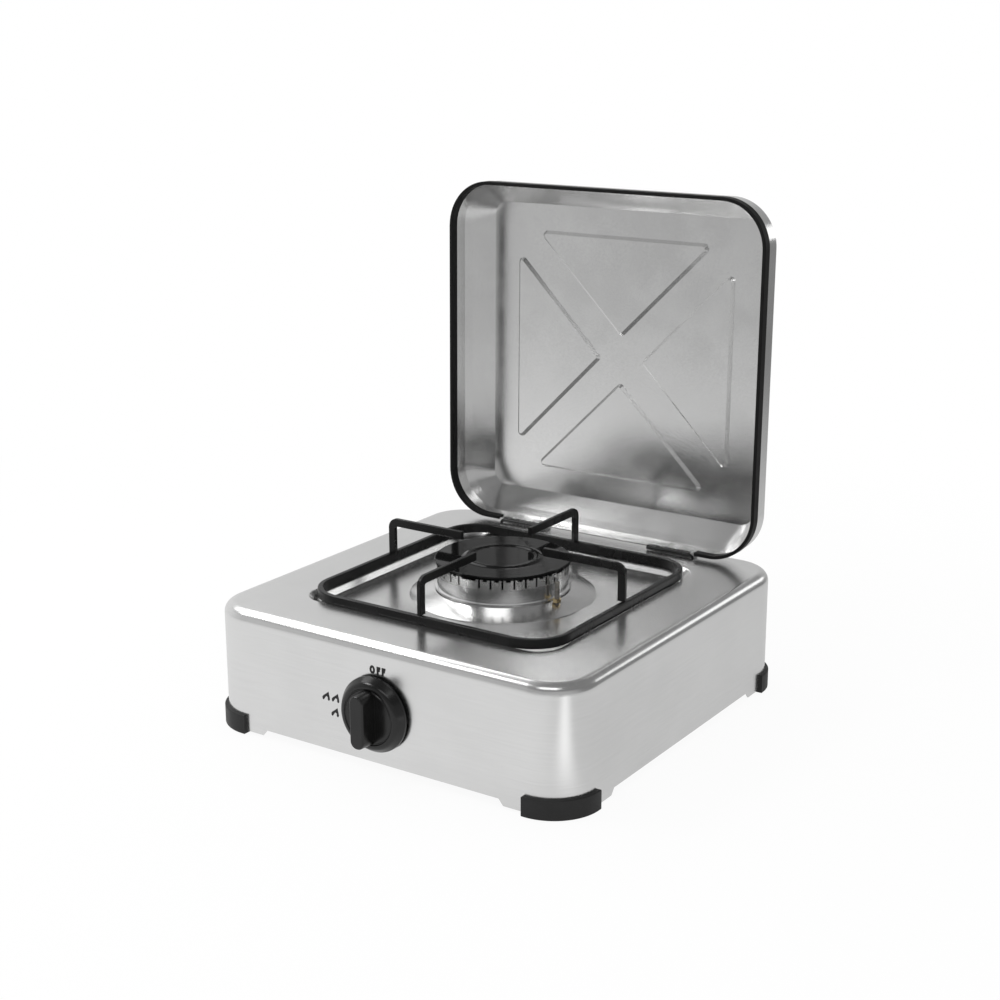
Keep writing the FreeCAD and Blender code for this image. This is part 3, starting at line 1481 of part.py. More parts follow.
def build_union(name, **where):
    """A union nut on one end of the gas pipe, shouldered over the thread it screws on."""
    nut = new_body(name, **where)
    outer = new_sketch(nut)
    hexagon(outer, "union_hex")
    extrude(nut, outer, "union_length")
    through = new_sketch(nut, lift="union_length")
    circle(through, "pipe_radius + running_gap")
    extrude(nut, through, "union_length + 1", cut=True)
    socket = new_sketch(nut)
    circle(socket, "inlet_radius + running_gap")
    extrude(nut, socket, "union_length - 3", cut=True, back=True)
    return nut


PIECES = [
    build_casing(),
    build_foot("foot_rear_right", 1, 1, "0"),
    build_foot("foot_rear_left", -1, 1, "90"),
    build_foot("foot_front_left", -1, -1, "180"),
    build_foot("foot_front_right", 1, -1, "270"),
    build_ring(),
    build_finger("pan_finger_right", "0"),
    build_finger("pan_finger_rear", "90"),
    build_finger("pan_finger_left", "180"),
    build_finger("pan_finger_front", "270"),
    build_bowl(),
    build_crown(),
    build_cap(),
    build_mixing_tube(),
    build_shutter(),
    build_bracket(),
    build_saddle(),
    build_screws(
        "saddle_screws",
        [("%d * (tube_radius + saddle_wing / 2 + 1)" % side, "0") for side in (-1, 1)],
        "saddle_thickness + bracket_thickness + screw_end",
        y="-saddle_setback", z="knob_height - tube_radius + saddle_thickness"),
    build_lid(),
    build_trim(),
    build_hinge("hinge_leaf_left", -1),
    build_hinge("hinge_leaf_right", 1),
    build_rivets(),
    build_hinge_pin("hinge_pin_left", -1),
    build_hinge_pin("hinge_pin_right", 1),
    build_push_nuts(),
    build_knob(),
    build_knob_insert(),
    build_spindle(),
    build_thrust_washer(),
    build_spring(),
    build_gland(),
    build_valve(),
    build_screws(
        "valve_screws",
        [("%d * screw_spacing / 2" % side, "0") for side in (-1, 1)],
        "casing_wall + flange_thickness + screw_end",
        y="-" + PANEL_Y, z="knob_height", axis=Vector(1, 0, 0), angle="90"),
    build_plug(),
    build_jet(),
    build_igniter(),
    build_strap(),
    build_electrode(),
    build_spark_wire(),
    build_electrode_nut(),
    build_lead(),
    build_hose_tail(),
    build_locknut(),
    build_pipe(),
    build_union("inlet_union_nut", x="inlet_offset", y=PIPE_REAR + " + union_length - 6", z="knob_height",
                axis=Vector(1, 0, 0), angle="90"),
    build_union("valve_union_nut", x="inlet_reach - union_length + 6", y="-" + PIPE_FRONT, z="knob_height",
                axis=Vector(0, 1, 0), angle="90"),
]

doc.recompute()
failed = [thing.Name for thing in doc.Objects if "Invalid" in thing.State or "Error" in thing.State]
if failed:
    raise RuntimeError("failed: %s" % failed)
os.makedirs("parts", exist_ok=True)
for piece in PIECES:
    shape = piece.Shape
    if shape.isNull() or not shape.isValid():
        raise RuntimeError("bad shape: " + piece.Label)
    shape.exportStep("parts/%s.step" % piece.Label)
print("pieces", len(PIECES))
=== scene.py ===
import json
import math
import bmesh
import bpy
from mathutils import Matrix, Vector


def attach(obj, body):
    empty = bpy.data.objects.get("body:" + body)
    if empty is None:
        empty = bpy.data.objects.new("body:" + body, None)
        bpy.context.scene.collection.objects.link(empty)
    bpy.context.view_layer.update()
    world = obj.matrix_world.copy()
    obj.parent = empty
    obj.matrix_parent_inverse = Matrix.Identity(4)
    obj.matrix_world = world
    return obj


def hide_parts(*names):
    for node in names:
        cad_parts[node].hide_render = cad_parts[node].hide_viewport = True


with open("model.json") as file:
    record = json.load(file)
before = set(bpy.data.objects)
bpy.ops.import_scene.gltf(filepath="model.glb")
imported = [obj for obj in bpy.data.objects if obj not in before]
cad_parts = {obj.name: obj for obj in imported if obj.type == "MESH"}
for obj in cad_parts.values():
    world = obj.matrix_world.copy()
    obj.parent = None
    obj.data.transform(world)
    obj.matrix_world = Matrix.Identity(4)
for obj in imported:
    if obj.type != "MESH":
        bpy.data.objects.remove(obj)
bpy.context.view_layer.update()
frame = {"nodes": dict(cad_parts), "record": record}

MM = 0.001

# Faces that carry marks, in millimetres: the front panel's, and the open lid's inner rear wall
PANEL_FACE_Y = -150.0
LID_WALL_Z = 94.2

# Ink on the front panel, in millimetres, with the stroke as a share of the letters' height
INK_RISE = 0.05
INK_DEPTH = 0.04
OFF_UP = 72.5
OFF_HEIGHT = 5.7
OFF_STROKE = 0.3
LETTER_O_ACROSS = -2.6
LETTERS_F_ACROSS = {"off_letter_f_first": 2.5, "off_letter_f_second": 6.7}
FLAME_HEIGHT = 6.8
FLAME_PLACES = {
    "flame_high_left": (-42.4, 44.9),
    "flame_high_right": (-34.3, 45.1),
    "flame_low": (-35.0, 34.7),
}

# Pressed lines and dimples in the lid's wall over each hinge, in millimetres
MARK_LINES = {"right": (61.0, 75.3), "left": (-74.2, -58.6)}
MARK_DIMPLES = {"right": (58.4, 71.6), "left": (-75.8, -61.9)}
LINE_ALONG, LINE_HALF_WIDTH, LINE_HALF_LENGTH = 134.6, 0.45, 7.6
DIMPLE_ALONG, DIMPLE_HALF_WIDTH, DIMPLE_HALF_LENGTH = 129.4, 1.3, 0.5
PAD_PROFILE = ((1.0, -0.1), (1.0, 0.2), (0.7, 0.55), (0.35, 0.65))  # share of the half width, and rise

# Ignition lead, in millimetres: the route and radius of its solid
LEAD_ROUTE = [
    (-18.1, -105.8, 42.4),
    (-18.1, -91.8, 42.4),
    (-15.1, -81.8, 21.4),
    (3.9, -73.8, 18.4),
    (29.8, -25.1, 21.4),
    (51.8, -9.1, 32.4),
    (51.8, -9.1, 74.0),
]
LEAD_RADIUS = 1.2


# Ranges of a noise that are drawn out to the full effect
LINE_RANGE = (0.3, 0.7)
GRAIN_RANGE = (0.35, 0.65)

# Uprightness at which brushing turns level, and sharpness at which an edge takes the painted highlight
FLAT_RANGE = (0.45, 0.85)
EDGE_RANGE = (0.995, 0.85)


# Shader building

def add_node(tree, kind, **settings):
    """A shader node with its settings."""
    made = tree.nodes.new("ShaderNode" + kind)
    for name, value in settings.items():
        setattr(made, name, value)
    return made


def feed(tree, socket, source):
    """Joins an output to an input, or sets the input's own value."""
    if isinstance(source, bpy.types.NodeSocket):
        tree.links.new(source, socket)
    else:
        socket.default_value = source


def calculate(tree, operation, *sources):
    """One arithmetic step on numbers."""
    step = add_node(tree, "Math", operation=operation)
    for socket, source in zip(step.inputs, sources):
        feed(tree, socket, source)
    return step.outputs[0]


def remap(tree, value, low, high, to_low, to_high):
    """Takes a value from one range to another, held at the ends."""
    step = add_node(tree, "MapRange", interpolation_type="SMOOTHSTEP")
    for socket, source in zip(step.inputs, (value, low, high, to_low, to_high)):
        feed(tree, socket, source)
    return step.outputs[0]


def blend_colours(tree, mask, first, second):
    """One colour where the mask is 0 and another where it is 1."""
    step = add_node(tree, "Mix", data_type="RGBA")
    feed(tree, step.inputs[0], mask)
    feed(tree, step.inputs[6], first)
    feed(tree, step.inputs[7], second)
    return step.outputs[2]


def blend_numbers(tree, mask, first, second):
    """One number where the mask is 0 and another where it is 1."""
    step = add_node(tree, "Mix", data_type="FLOAT")
    feed(tree, step.inputs[0], mask)
    feed(tree, step.inputs[2], first)
    feed(tree, step.inputs[3], second)
    return step.outputs[0]


def stretched_noise(tree, place, stretch, detail=2.0, roughness=0.5):
    """Noise drawn out along the directions with a small stretch."""
    scaled = add_node(tree, "VectorMath", operation="MULTIPLY")
    feed(tree, scaled.inputs[0], place)
    feed(tree, scaled.inputs[1], stretch)
    noise = add_node(tree, "TexNoise")
    feed(tree, noise.inputs["Vector"], scaled.outputs[0])
    feed(tree, noise.inputs["Scale"], 1.0)
    feed(tree, noise.inputs["Detail"], detail)
    feed(tree, noise.inputs["Roughness"], roughness)
    return noise.outputs["Fac"]


def new_group(name, inputs, outputs):
    """An empty effect group with named number sockets."""
    tree = bpy.data.node_groups.new(name, "ShaderNodeTree")
    for label, value in inputs:
        socket = tree.interface.new_socket(label, in_out="INPUT", socket_type="NodeSocketFloat")
        socket.default_value = value
    for label in outputs:
        tree.interface.new_socket(label, in_out="OUTPUT", socket_type="NodeSocketFloat")
    entry = tree.nodes.new("NodeGroupInput")
    leave = tree.nodes.new("NodeGroupOutput")
    return tree, entry.outputs, leave.inputs


def brushed_lines_group():
    """Brushing that runs level round upright walls and left to right on flat faces."""
    tree, given, made = new_group(
        "brushed_lines", [("Fineness", 2600.0), ("Length", 30.0)], ["Lines"])
    place = add_node(tree, "TexCoord")
    split = add_node(tree, "SeparateXYZ")
    feed(tree, split.inputs[0], place.outputs["Normal"])
    level = calculate(tree, "ABSOLUTE", split.outputs[2])
    flat = remap(tree, level, *FLAT_RANGE, 0.0, 1.0)
    walls = add_node(tree, "CombineXYZ")
    plates = add_node(tree, "CombineXYZ")
    for stretch, along in ((walls, (0, 1)), (plates, (0, 2))):
        for axis in range(3):
            feed(tree, stretch.inputs[axis], given["Length" if axis in along else "Fineness"])
    on_walls = stretched_noise(tree, place.outputs["Object"], walls.outputs[0], 3.0, 0.7)
    on_plates = stretched_noise(tree, place.outputs["Object"], plates.outputs[0], 3.0, 0.7)
    feed(tree, made["Lines"], blend_numbers(tree, flat, on_walls, on_plates))
    return tree


def fine_grain_group():
    """The even grain of a rolled, cast or moulded skin, with slow cloudy patches."""
    tree, given, made = new_group(
        "fine_grain", [("Size", 0.5), ("Patch", 25.0)], ["Grain", "Patches"])
    place = add_node(tree, "TexCoord")
    for label, size, detail in (("Grain", "Size", 3.0), ("Patches", "Patch", 2.0)):
        per_metre = calculate(tree, "DIVIDE", 1000.0, given[size])
        noise = add_node(tree, "TexNoise")
        feed(tree, noise.inputs["Vector"], place.outputs["Object"])
        feed(tree, noise.inputs["Scale"], per_metre)
        feed(tree, noise.inputs["Detail"], detail)
        feed(tree, made[label], noise.outputs["Fac"])
    return tree


def turned_rings_group():
    """Fine tool marks round parts turned about an axis that runs front to back."""
    tree, given, made = new_group("turned_rings", [("Pitch", 0.25)], ["Rings"])
    place = add_node(tree, "TexCoord")
    across = calculate(tree, "DIVIDE", 1000.0, given["Pitch"])
    stretch = add_node(tree, "CombineXYZ")
    feed(tree, stretch.inputs[0], 20.0)
    feed(tree, stretch.inputs[1], across)
    feed(tree, stretch.inputs[2], 20.0)
    feed(tree, made["Rings"], stretched_noise(tree, place.outputs["Object"], stretch.outputs[0]))
    return tree


def painted_edge_highlight_group():
    """Mask for a painted highlight: 1 along sharp outer edges and 0 on open faces."""
    tree, given, made = new_group("painted_edge_highlight", [("Width", 0.6)], ["Edge"])
    soft = add_node(tree, "Bevel", samples=4)
    feed(tree, soft.inputs["Radius"], calculate(tree, "MULTIPLY", given["Width"], MM))
    real = add_node(tree, "NewGeometry")
    turn = add_node(tree, "VectorMath", operation="DOT_PRODUCT")
    feed(tree, turn.inputs[0], soft.outputs[0])
    feed(tree, turn.inputs[1], real.outputs["Normal"])
    feed(tree, made["Edge"], remap(tree, turn.outputs["Value"], *EDGE_RANGE, 0.0, 1.0))
    return tree


BRUSHED_LINES = brushed_lines_group()
FINE_GRAIN = fine_grain_group()
TURNED_RINGS = turned_rings_group()
PAINTED_EDGE_HIGHLIGHT = painted_edge_highlight_group()


def place_group(tree, group, **values):
    """An effect group in a material, with its own values."""
    made = add_node(tree, "Group", node_tree=group)
    for label, value in values.items():
        made.inputs[label].default_value = value
    return made.outputs


def new_finish(name, metallic=0.0, specular=0.5, coat=0.0):
    """A material with its shader, ready for colour, roughness and bump."""
    finish = bpy.data.materials.new(name)
    finish.use_nodes = True
    tree = finish.node_tree
    tree.nodes.clear()
    shader = add_node(tree, "BsdfPrincipled")
    surface = add_node(tree, "OutputMaterial")
    tree.links.new(shader.outputs[0], surface.inputs["Surface"])
    shader.inputs["Metallic"].default_value = metallic
    shader.inputs["Specular IOR Level"].default_value = specular
    shader.inputs["Coat Weight"].default_value = coat
    return finish, tree, shader


def raise_bumps(tree, shader, layers):
    """Bump from several heights, each with its depth in millimetres."""
    below = None
    for height, depth in layers:
        bump = add_node(tree, "Bump")
        feed(tree, bump.inputs["Height"], height)
        feed(tree, bump.inputs["Distance"], depth * MM)
        feed(tree, bump.inputs["Strength"], 1.0)
        if below is not None:
            feed(tree, bump.inputs["Normal"], below)
        below = bump.outputs[0]
    tree.links.new(below, shader.inputs["Normal"])


def brushed_sheet(name, dark, pale, smooth, rough, fineness, line_depth, grain_depth):
    """Stainless sheet with level brushing, a fine grain and cloudy sheen."""
    finish, tree, shader = new_finish(name, metallic=1.0)
    lines = place_group(tree, BRUSHED_LINES, Fineness=fineness, Length=24.0)
    grain = place_group(tree, FINE_GRAIN, Size=1.2, Patch=45.0)
    shade = calculate(tree, "MULTIPLY_ADD", lines["Lines"], 0.6,
                      calculate(tree, "MULTIPLY", grain["Patches"], 0.4))
    colour = blend_colours(tree, remap(tree, shade, *LINE_RANGE, 0.0, 1.0), dark, pale)
    feed(tree, shader.inputs["Base Color"], colour)
    feed(tree, shader.inputs["Roughness"], remap(tree, lines["Lines"], *LINE_RANGE, smooth, rough))
    raise_bumps(tree, shader, [(lines["Lines"], line_depth), (grain["Grain"], grain_depth)])
    return finish


def grained_finish(name, dark, pale, smooth, rough, metallic=0.0, size=0.5, depth=0.01, specular=0.5,
                   coat=0.0, edge_highlight_colour=None, edge_width=0.6):
    """Cast, plated, enamelled or moulded skin, with an optional painted highlight along its edges."""
    finish, tree, shader = new_finish(name, metallic, specular, coat)
    grain = place_group(tree, FINE_GRAIN, Size=size, Patch=size * 30)
    shade = calculate(tree, "MULTIPLY_ADD", grain["Grain"], 0.5,
                      calculate(tree, "MULTIPLY", grain["Patches"], 0.5))
    colour = blend_colours(tree, remap(tree, shade, *GRAIN_RANGE, 0.0, 1.0), dark, pale)
    # Paler colour along sharp edges: a painted highlight
    if edge_highlight_colour is not None:
        edge_highlight = place_group(tree, PAINTED_EDGE_HIGHLIGHT, Width=edge_width)
        colour = blend_colours(tree, edge_highlight["Edge"], colour, edge_highlight_colour)
    feed(tree, shader.inputs["Base Color"], colour)
    feed(tree, shader.inputs["Roughness"], remap(tree, grain["Patches"], *GRAIN_RANGE, smooth, rough))
    raise_bumps(tree, shader, [(grain["Grain"], depth)])
    return finish


def turned_finish(name, dark, pale, smooth, rough, pitch=0.25):
    """Metal with the fine rings of a lathe."""
    finish, tree, shader = new_finish(name, metallic=1.0)
    rings = place_group(tree, TURNED_RINGS, Pitch=pitch)
    grain = place_group(tree, FINE_GRAIN, Size=0.4, Patch=9.0)
    colour = blend_colours(tree, remap(tree, grain["Patches"], *GRAIN_RANGE, 0.0, 1.0), dark, pale)
    feed(tree, shader.inputs["Base Color"], colour)
    feed(tree, shader.inputs["Roughness"], remap(tree, rings["Rings"], *LINE_RANGE, smooth, rough))
    raise_bumps(tree, shader, [(rings["Rings"], 0.01)])
    return finish


def grey(value):
    """A neutral colour."""
    return (value, value, value, 1.0)


# Where an edge colour is given, it is a painted highlight along sharp edges
FINISHES = {
    "casing_steel": brushed_sheet("brushed_casing", (0.8, 0.8, 0.797, 1), (0.86, 0.86, 0.857, 1), 0.2, 0.27,
                                  1800.0, 0.0006, 0.02),
    "lid_steel": grained_finish("satin_lid", (0.8, 0.8, 0.797, 1), (0.86, 0.86, 0.857, 1), 0.17, 0.23,
                                metallic=1.0, size=1.2, depth=0.03),
    "foot_rubber": grained_finish("foot_rubber_skin", grey(0.014), grey(0.02), 0.42, 0.52, size=0.35,
                                  depth=0.02, specular=0.3, edge_highlight_colour=grey(0.03)),
    "trim_rubber": grained_finish("trim_rubber_skin", grey(0.007), grey(0.011), 0.4, 0.5, size=0.3,
                                  depth=0.012, specular=0.12),
    "support_enamel": grained_finish("black_support_enamel", grey(0.006), grey(0.01), 0.22, 0.32, size=1.2,
                                     depth=0.02, specular=0.25, edge_highlight_colour=grey(0.016), edge_width=0.4),
    "burner_chrome": grained_finish("polished_bowl", grey(0.88), grey(0.94), 0.16, 0.22, metallic=1.0,
                                    size=2.0, depth=0.006),
    "crown_metal": grained_finish("plated_crown", (0.84, 0.84, 0.83, 1), (0.92, 0.92, 0.91, 1), 0.2, 0.3,
                                  metallic=1.0, size=0.4, depth=0.01),
    "cap_enamel": grained_finish("gloss_cap_enamel", grey(0.004), grey(0.007), 0.06, 0.1, size=3.0,
                                 depth=0.008, specular=0.15),
    "hinge_steel": grained_finish("blacked_hinge", grey(0.03), grey(0.05), 0.2, 0.3, metallic=1.0,
                                  size=0.4, depth=0.01),
    "knob_plastic": grained_finish("knob_moulding", grey(0.004), grey(0.007), 0.2, 0.26, size=0.5,
                                   depth=0.006, specular=0.5, edge_highlight_colour=grey(0.02), edge_width=0.5),
    "bracket_steel": grained_finish("plated_strip", grey(0.45), grey(0.56), 0.28, 0.4, metallic=1.0,
                                    size=0.6, depth=0.01),
    "tube_metal": grained_finish("cast_tube", grey(0.42), grey(0.52), 0.38, 0.5, metallic=1.0,
                                 size=0.5, depth=0.03),
    "shutter_steel": grained_finish("rolled_shutter", grey(0.5), grey(0.6), 0.2, 0.32, metallic=1.0,
                                    size=0.6, depth=0.008),
    "screw_steel": grained_finish("zinc_screws", grey(0.5), grey(0.64), 0.18, 0.3, metallic=1.0,
                                  size=0.3, depth=0.008),
    "spindle_steel": turned_finish("turned_spindle", grey(0.46), grey(0.56), 0.18, 0.32),
    "spring_steel": grained_finish("spring_wire_skin", grey(0.34), grey(0.44), 0.2, 0.32, metallic=1.0,
                                   size=0.25, depth=0.006),
    "valve_brass": turned_finish("turned_brass", (0.68, 0.53, 0.3, 1), (0.8, 0.66, 0.4, 1), 0.16, 0.3, 0.35),
    # The electrode's ceramic: dark grey-brown all over
    "ceramic": grained_finish("dark_ceramic", (0.09, 0.085, 0.08, 1), (0.2, 0.19, 0.17, 1), 0.14, 0.26,
                              size=1.6, depth=0.01, coat=0.3),
    "igniter_plastic": grained_finish("igniter_moulding", grey(0.03), grey(0.045), 0.45, 0.6, size=0.4,
                                      depth=0.015),
    "lead_rubber": grained_finish("lead_insulation", (0.4, 0.04, 0.03, 1), (0.55, 0.07, 0.05, 1), 0.35, 0.5,
                                  size=0.4, depth=0.01),
    "pipe_metal": grained_finish("drawn_pipe", grey(0.5), grey(0.6), 0.24, 0.36, metallic=1.0,
                                 size=0.6, depth=0.01),
}
PRINTED_BLACK = grained_finish("printed_black", grey(0.003), grey(0.006), 0.4, 0.5, size=0.3, depth=0.004)


def paint(piece, finish):
    """Gives a piece one finish all over."""
    piece.data.materials.clear()
    piece.data.materials.append(finish)


def paint_cad_nodes():
    """Each carried-over solid takes the finish of its own slot."""
    for part in frame["record"]["subparts"]:
        paint(frame["nodes"][part["node"]], FINISHES[part["material_slot"]])
    paint(frame["nodes"]["hinge_rivets"], FINISHES["lid_steel"])


# Pieces

def new_piece(name, mesh, finish, body):
    """Puts a mesh in the scene as a piece of one body."""
    piece = bpy.data.objects.new(name, mesh)
    bpy.context.scene.collection.objects.link(piece)
    paint(piece, finish)
    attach(piece, body)
    return piece


def printed_mark(name, outlines, across, up, height):
    """Ink on the front panel: closed outlines in units of the mark's height."""
    work = bmesh.new()
    for outline in outlines:
        front = [work.verts.new(((across + x * height) * MM, (PANEL_FACE_Y - INK_RISE) * MM,
                                 (up + z * height) * MM)) for x, z in outline]
        face = work.faces.new(front)
        drawn = bmesh.ops.extrude_face_region(work, geom=[face])
        moved = [corner for corner in drawn["geom"] if isinstance(corner, bmesh.types.BMVert)]
        bmesh.ops.translate(work, verts=moved, vec=(0, INK_DEPTH * MM, 0))
    bmesh.ops.recalc_face_normals(work, faces=work.faces)
    mesh = bpy.data.meshes.new(name)
    work.to_mesh(mesh)
    work.free()
    return new_piece(name, mesh, PRINTED_BLACK, "stove")


def ring_outlines(width, height, stroke, steps=32):
    """An oval letter as quads between its outer and inner outline."""
    quads = []
    for step in range(steps):
        corners = []
        for turn, inset in ((step, 0.0), (step + 1, 0.0), (step + 1, stroke), (step, stroke)):
            angle = 2 * math.pi * turn / steps
            corners.append(((width / 2 - inset) * math.cos(angle), (height / 2 - inset) * math.sin(angle)))
        quads.append(corners)
    return quads


def bar_outlines(*bars):
    """Straight strokes as rectangles: left, bottom, right, top."""
    return [[(x0, z0), (x1, z0), (x1, z1), (x0, z1)] for x0, z0, x1, z1 in bars]


def print_off_mark():
    """The word OFF over the knob."""
    left, foot, top, waist = -0.27, -0.5, 0.5, -0.1
    stem = left + OFF_STROKE
    letter_f = bar_outlines((left, foot, stem, top), (stem, top - OFF_STROKE, 0.3, top),
                            (stem, waist, 0.22, waist + OFF_STROKE))
    letter_o = ring_outlines(0.8, 1.04, OFF_STROKE)
    printed_mark("off_letter_o", letter_o, LETTER_O_ACROSS, OFF_UP, OFF_HEIGHT)
    for name, across in LETTERS_F_ACROSS.items():
        printed_mark(name, letter_f, across, OFF_UP, OFF_HEIGHT)


# A flame's tongues, in shares of its height
FLAME = [
    [(-0.5, -0.38), (-0.36, -0.48), (-0.2, -0.26), (-0.02, -0.02), (-0.1, 0.2), (-0.36, 0.02),
     (-0.52, -0.16)],
    [(-0.02, -0.02), (0.16, -0.1), (0.2, 0.1), (0.28, 0.5), (0.1, 0.36), (-0.1, 0.2)],
    [(0.16, -0.1), (0.16, -0.36), (0.3, -0.5), (0.44, -0.3), (0.4, 0.0), (0.2, 0.1)],
    [(0.2, 0.1), (0.4, 0.0), (0.34, 0.2), (0.28, 0.5)],
]


def print_flame_marks():
    """Two flames for the high setting and one for the low, left of the knob."""
    for name, (across, up) in FLAME_PLACES.items():
        printed_mark(name, FLAME, across, up, FLAME_HEIGHT)


def lid_wall_marks():
    """The pressed lines and dimples where the hinges' tabs are worked into the lid's rear wall."""
    for side in MARK_LINES:
        work = bmesh.new()
        for across in MARK_LINES[side]:
            raise_pad(work, across, LINE_ALONG, LINE_HALF_WIDTH, LINE_HALF_LENGTH)
        for across in MARK_DIMPLES[side]:
            raise_pad(work, across, DIMPLE_ALONG, DIMPLE_HALF_WIDTH, DIMPLE_HALF_LENGTH)
        mesh = bpy.data.meshes.new("hinge_tab_marks_" + side)
        work.to_mesh(mesh)
        work.free()
        new_piece("hinge_tab_marks_" + side, mesh, FINISHES["lid_steel"], "lid")


def raise_pad(work, across, along, half_width, half_length, steps=24):
    """A low rounded pad on the lid's inner rear wall, domed towards its middle."""
    rings = []
    for share, rise in PAD_PROFILE:
        ring = []
        for step in range(steps):
            angle = 2 * math.pi * step / steps
            x = across + share * half_width * math.cos(angle)
            y = along + (half_length - (1 - share) * half_width) * math.sin(angle)
            ring.append(work.verts.new((x * MM, y * MM, (LID_WALL_Z + rise) * MM)))
        rings.append(ring)
    for below, above in zip(rings, rings[1:]):
        for step in range(steps):
            after = (step + 1) % steps
            work.faces.new((below[step], below[after], above[after], above[step]))
    work.faces.new(rings[-1])
    work.faces.new(reversed(rings[0]))


def lay_ignition_lead():
    """The insulated lead from the spark unit to the electrode, on one smooth line."""
    line = bpy.data.curves.new("ignition_lead_line", "CURVE")
    line.dimensions = "3D"
    line.bevel_depth = LEAD_RADIUS * MM
    line.bevel_resolution = 4
    line.use_fill_caps = True
    line.resolution_u = 16
    spline = line.splines.new("NURBS")
    spline.points.add(len(LEAD_ROUTE) - 1)
    for point, place in zip(spline.points, LEAD_ROUTE):
        point.co = (*[length * MM for length in place], 1.0)
    spline.order_u = 3
    spline.use_endpoint_u = True
    lead = bpy.data.objects.new("insulated_ignition_lead", line)
    bpy.context.scene.collection.objects.link(lead)
    paint(lead, FINISHES["lead_rubber"])
    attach(lead, "stove")
    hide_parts("ignition_lead")


# Studio

# Lamps: place, width and height in metres, and watts
LAMPS = {
    "overhead_softbox": ((-0.84, 0.2, 1.0), 0.82, 0.52, 3.0),
    "left_softbox": ((-0.72, -0.53, 0.99), 0.4, 0.28, 2.7),
    "rear_softbox": ((0.66, 1.16, 0.53), 0.6, 0.28, 0.63),
    "front_softbox": ((0.34, -0.88, 1.22), 0.9, 0.36, 1.9),
}
LAMP_AIM = (0.0, 0.0, 0.1)
PLAIN_LIGHT = 0.8

# How bright the walls look in metal, by level direction: x to the right, y to the rear
WALL_MIDDLE, WALL_ACROSS, WALL_ALONG = 0.33, -0.42, 0.1
WALL_DARKEST, WALL_PALEST = 0.18, 0.8
CORNER_ACROSS, CORNER_ALONG = 0.64, -0.77
CORNER_RANGE = (0.35, 0.95)
CORNER_LIFT = 0.25
CEILING_RANGE = (0.4, 0.55)
CEILING_LOSS, CEILING_DARKEST = 0.2, 0.2

# The floor, in metres, and the painted brightness it shows in metal beside the stove, with a painted glint
# patch at the right
FLOOR_REACH = 40.0
FLOOR_DROP = 0.0002
FLOOR_COLOUR = 0.88
FLOOR_GLOW = 0.93
GLOW_RANGE = (0.3, 0.9)
FAR_RANGE = (0.3, 1.5)
SIDE_SLANT = 0.7
SIDE_RANGE = (-0.1, 0.15)
FLOOR_LEFT, FLOOR_RIGHT = 0.76, 0.6
GLINT_SLANT, GLINT_SHIFT = 1.75, 0.12
GLINT_GAIN, GLINT_HALF_WIDTH = 0.55, 0.13
GLINT_START = (0.15, 0.25)

# The photograph's camera: metres, degrees and millimetres
CAMERA_PLACE = (0.66993, -0.99620, 0.49762)
CAMERA_YAW, CAMERA_PITCH, CAMERA_ROLL = 34.0124, -16.0323, -0.1678
LENS_LENGTH = 63.273
SENSOR_WIDTH = 36.0
NEAREST_SEEN = 0.01


def clamp(tree, value, low, high):
    """Holds a number between two ends."""
    return calculate(tree, "MINIMUM", calculate(tree, "MAXIMUM", value, low), high)


def wall_level(tree, across, along):
    """How bright the studio's walls are: palest at the rear left, with a lift at the front right."""
    slope = calculate(tree, "MULTIPLY_ADD", across, WALL_ACROSS, WALL_MIDDLE)
    slope = calculate(tree, "MULTIPLY_ADD", along, WALL_ALONG, slope)
    slope = clamp(tree, slope, WALL_DARKEST, WALL_PALEST)
    corner = calculate(tree, "MULTIPLY", across, CORNER_ACROSS)
    corner = calculate(tree, "MULTIPLY_ADD", along, CORNER_ALONG, corner)
    return calculate(tree, "ADD", slope, remap(tree, corner, *CORNER_RANGE, 0.0, CORNER_LIFT))


def floor_level(tree):
    """Painted brightness of the floor in reflections: pale by the stove, a painted glint at the right, then
    as the walls.
    """
    place = add_node(tree, "TexCoord")
    split = add_node(tree, "SeparateXYZ")
    feed(tree, split.inputs[0], place.outputs["Object"])
    reach = add_node(tree, "VectorMath", operation="LENGTH")
    feed(tree, reach.inputs[0], place.outputs["Object"])
    away = add_node(tree, "VectorMath", operation="NORMALIZE")
    feed(tree, away.inputs[0], place.outputs["Object"])
    aim = add_node(tree, "SeparateXYZ")
    feed(tree, aim.inputs[0], away.outputs[0])
    far = wall_level(tree, aim.outputs[0], aim.outputs[1])
    side = calculate(tree, "MULTIPLY_ADD", split.outputs[1], SIDE_SLANT, split.outputs[0])
    near = remap(tree, side, *SIDE_RANGE, FLOOR_LEFT, FLOOR_RIGHT)
    patch = calculate(tree, "MULTIPLY_ADD", split.outputs[1], GLINT_SLANT, split.outputs[0])
    patch = calculate(tree, "ABSOLUTE", calculate(tree, "ADD", patch, GLINT_SHIFT))
    glint = remap(tree, patch, 0.0, GLINT_HALF_WIDTH, GLINT_GAIN, 0.0)
    right = remap(tree, split.outputs[0], *GLINT_START, 0.0, 1.0)
    near = calculate(tree, "MULTIPLY_ADD", glint, right, near)
    return blend_numbers(tree, remap(tree, reach.outputs["Value"], *FAR_RANGE, 0.0, 1.0), near, far)


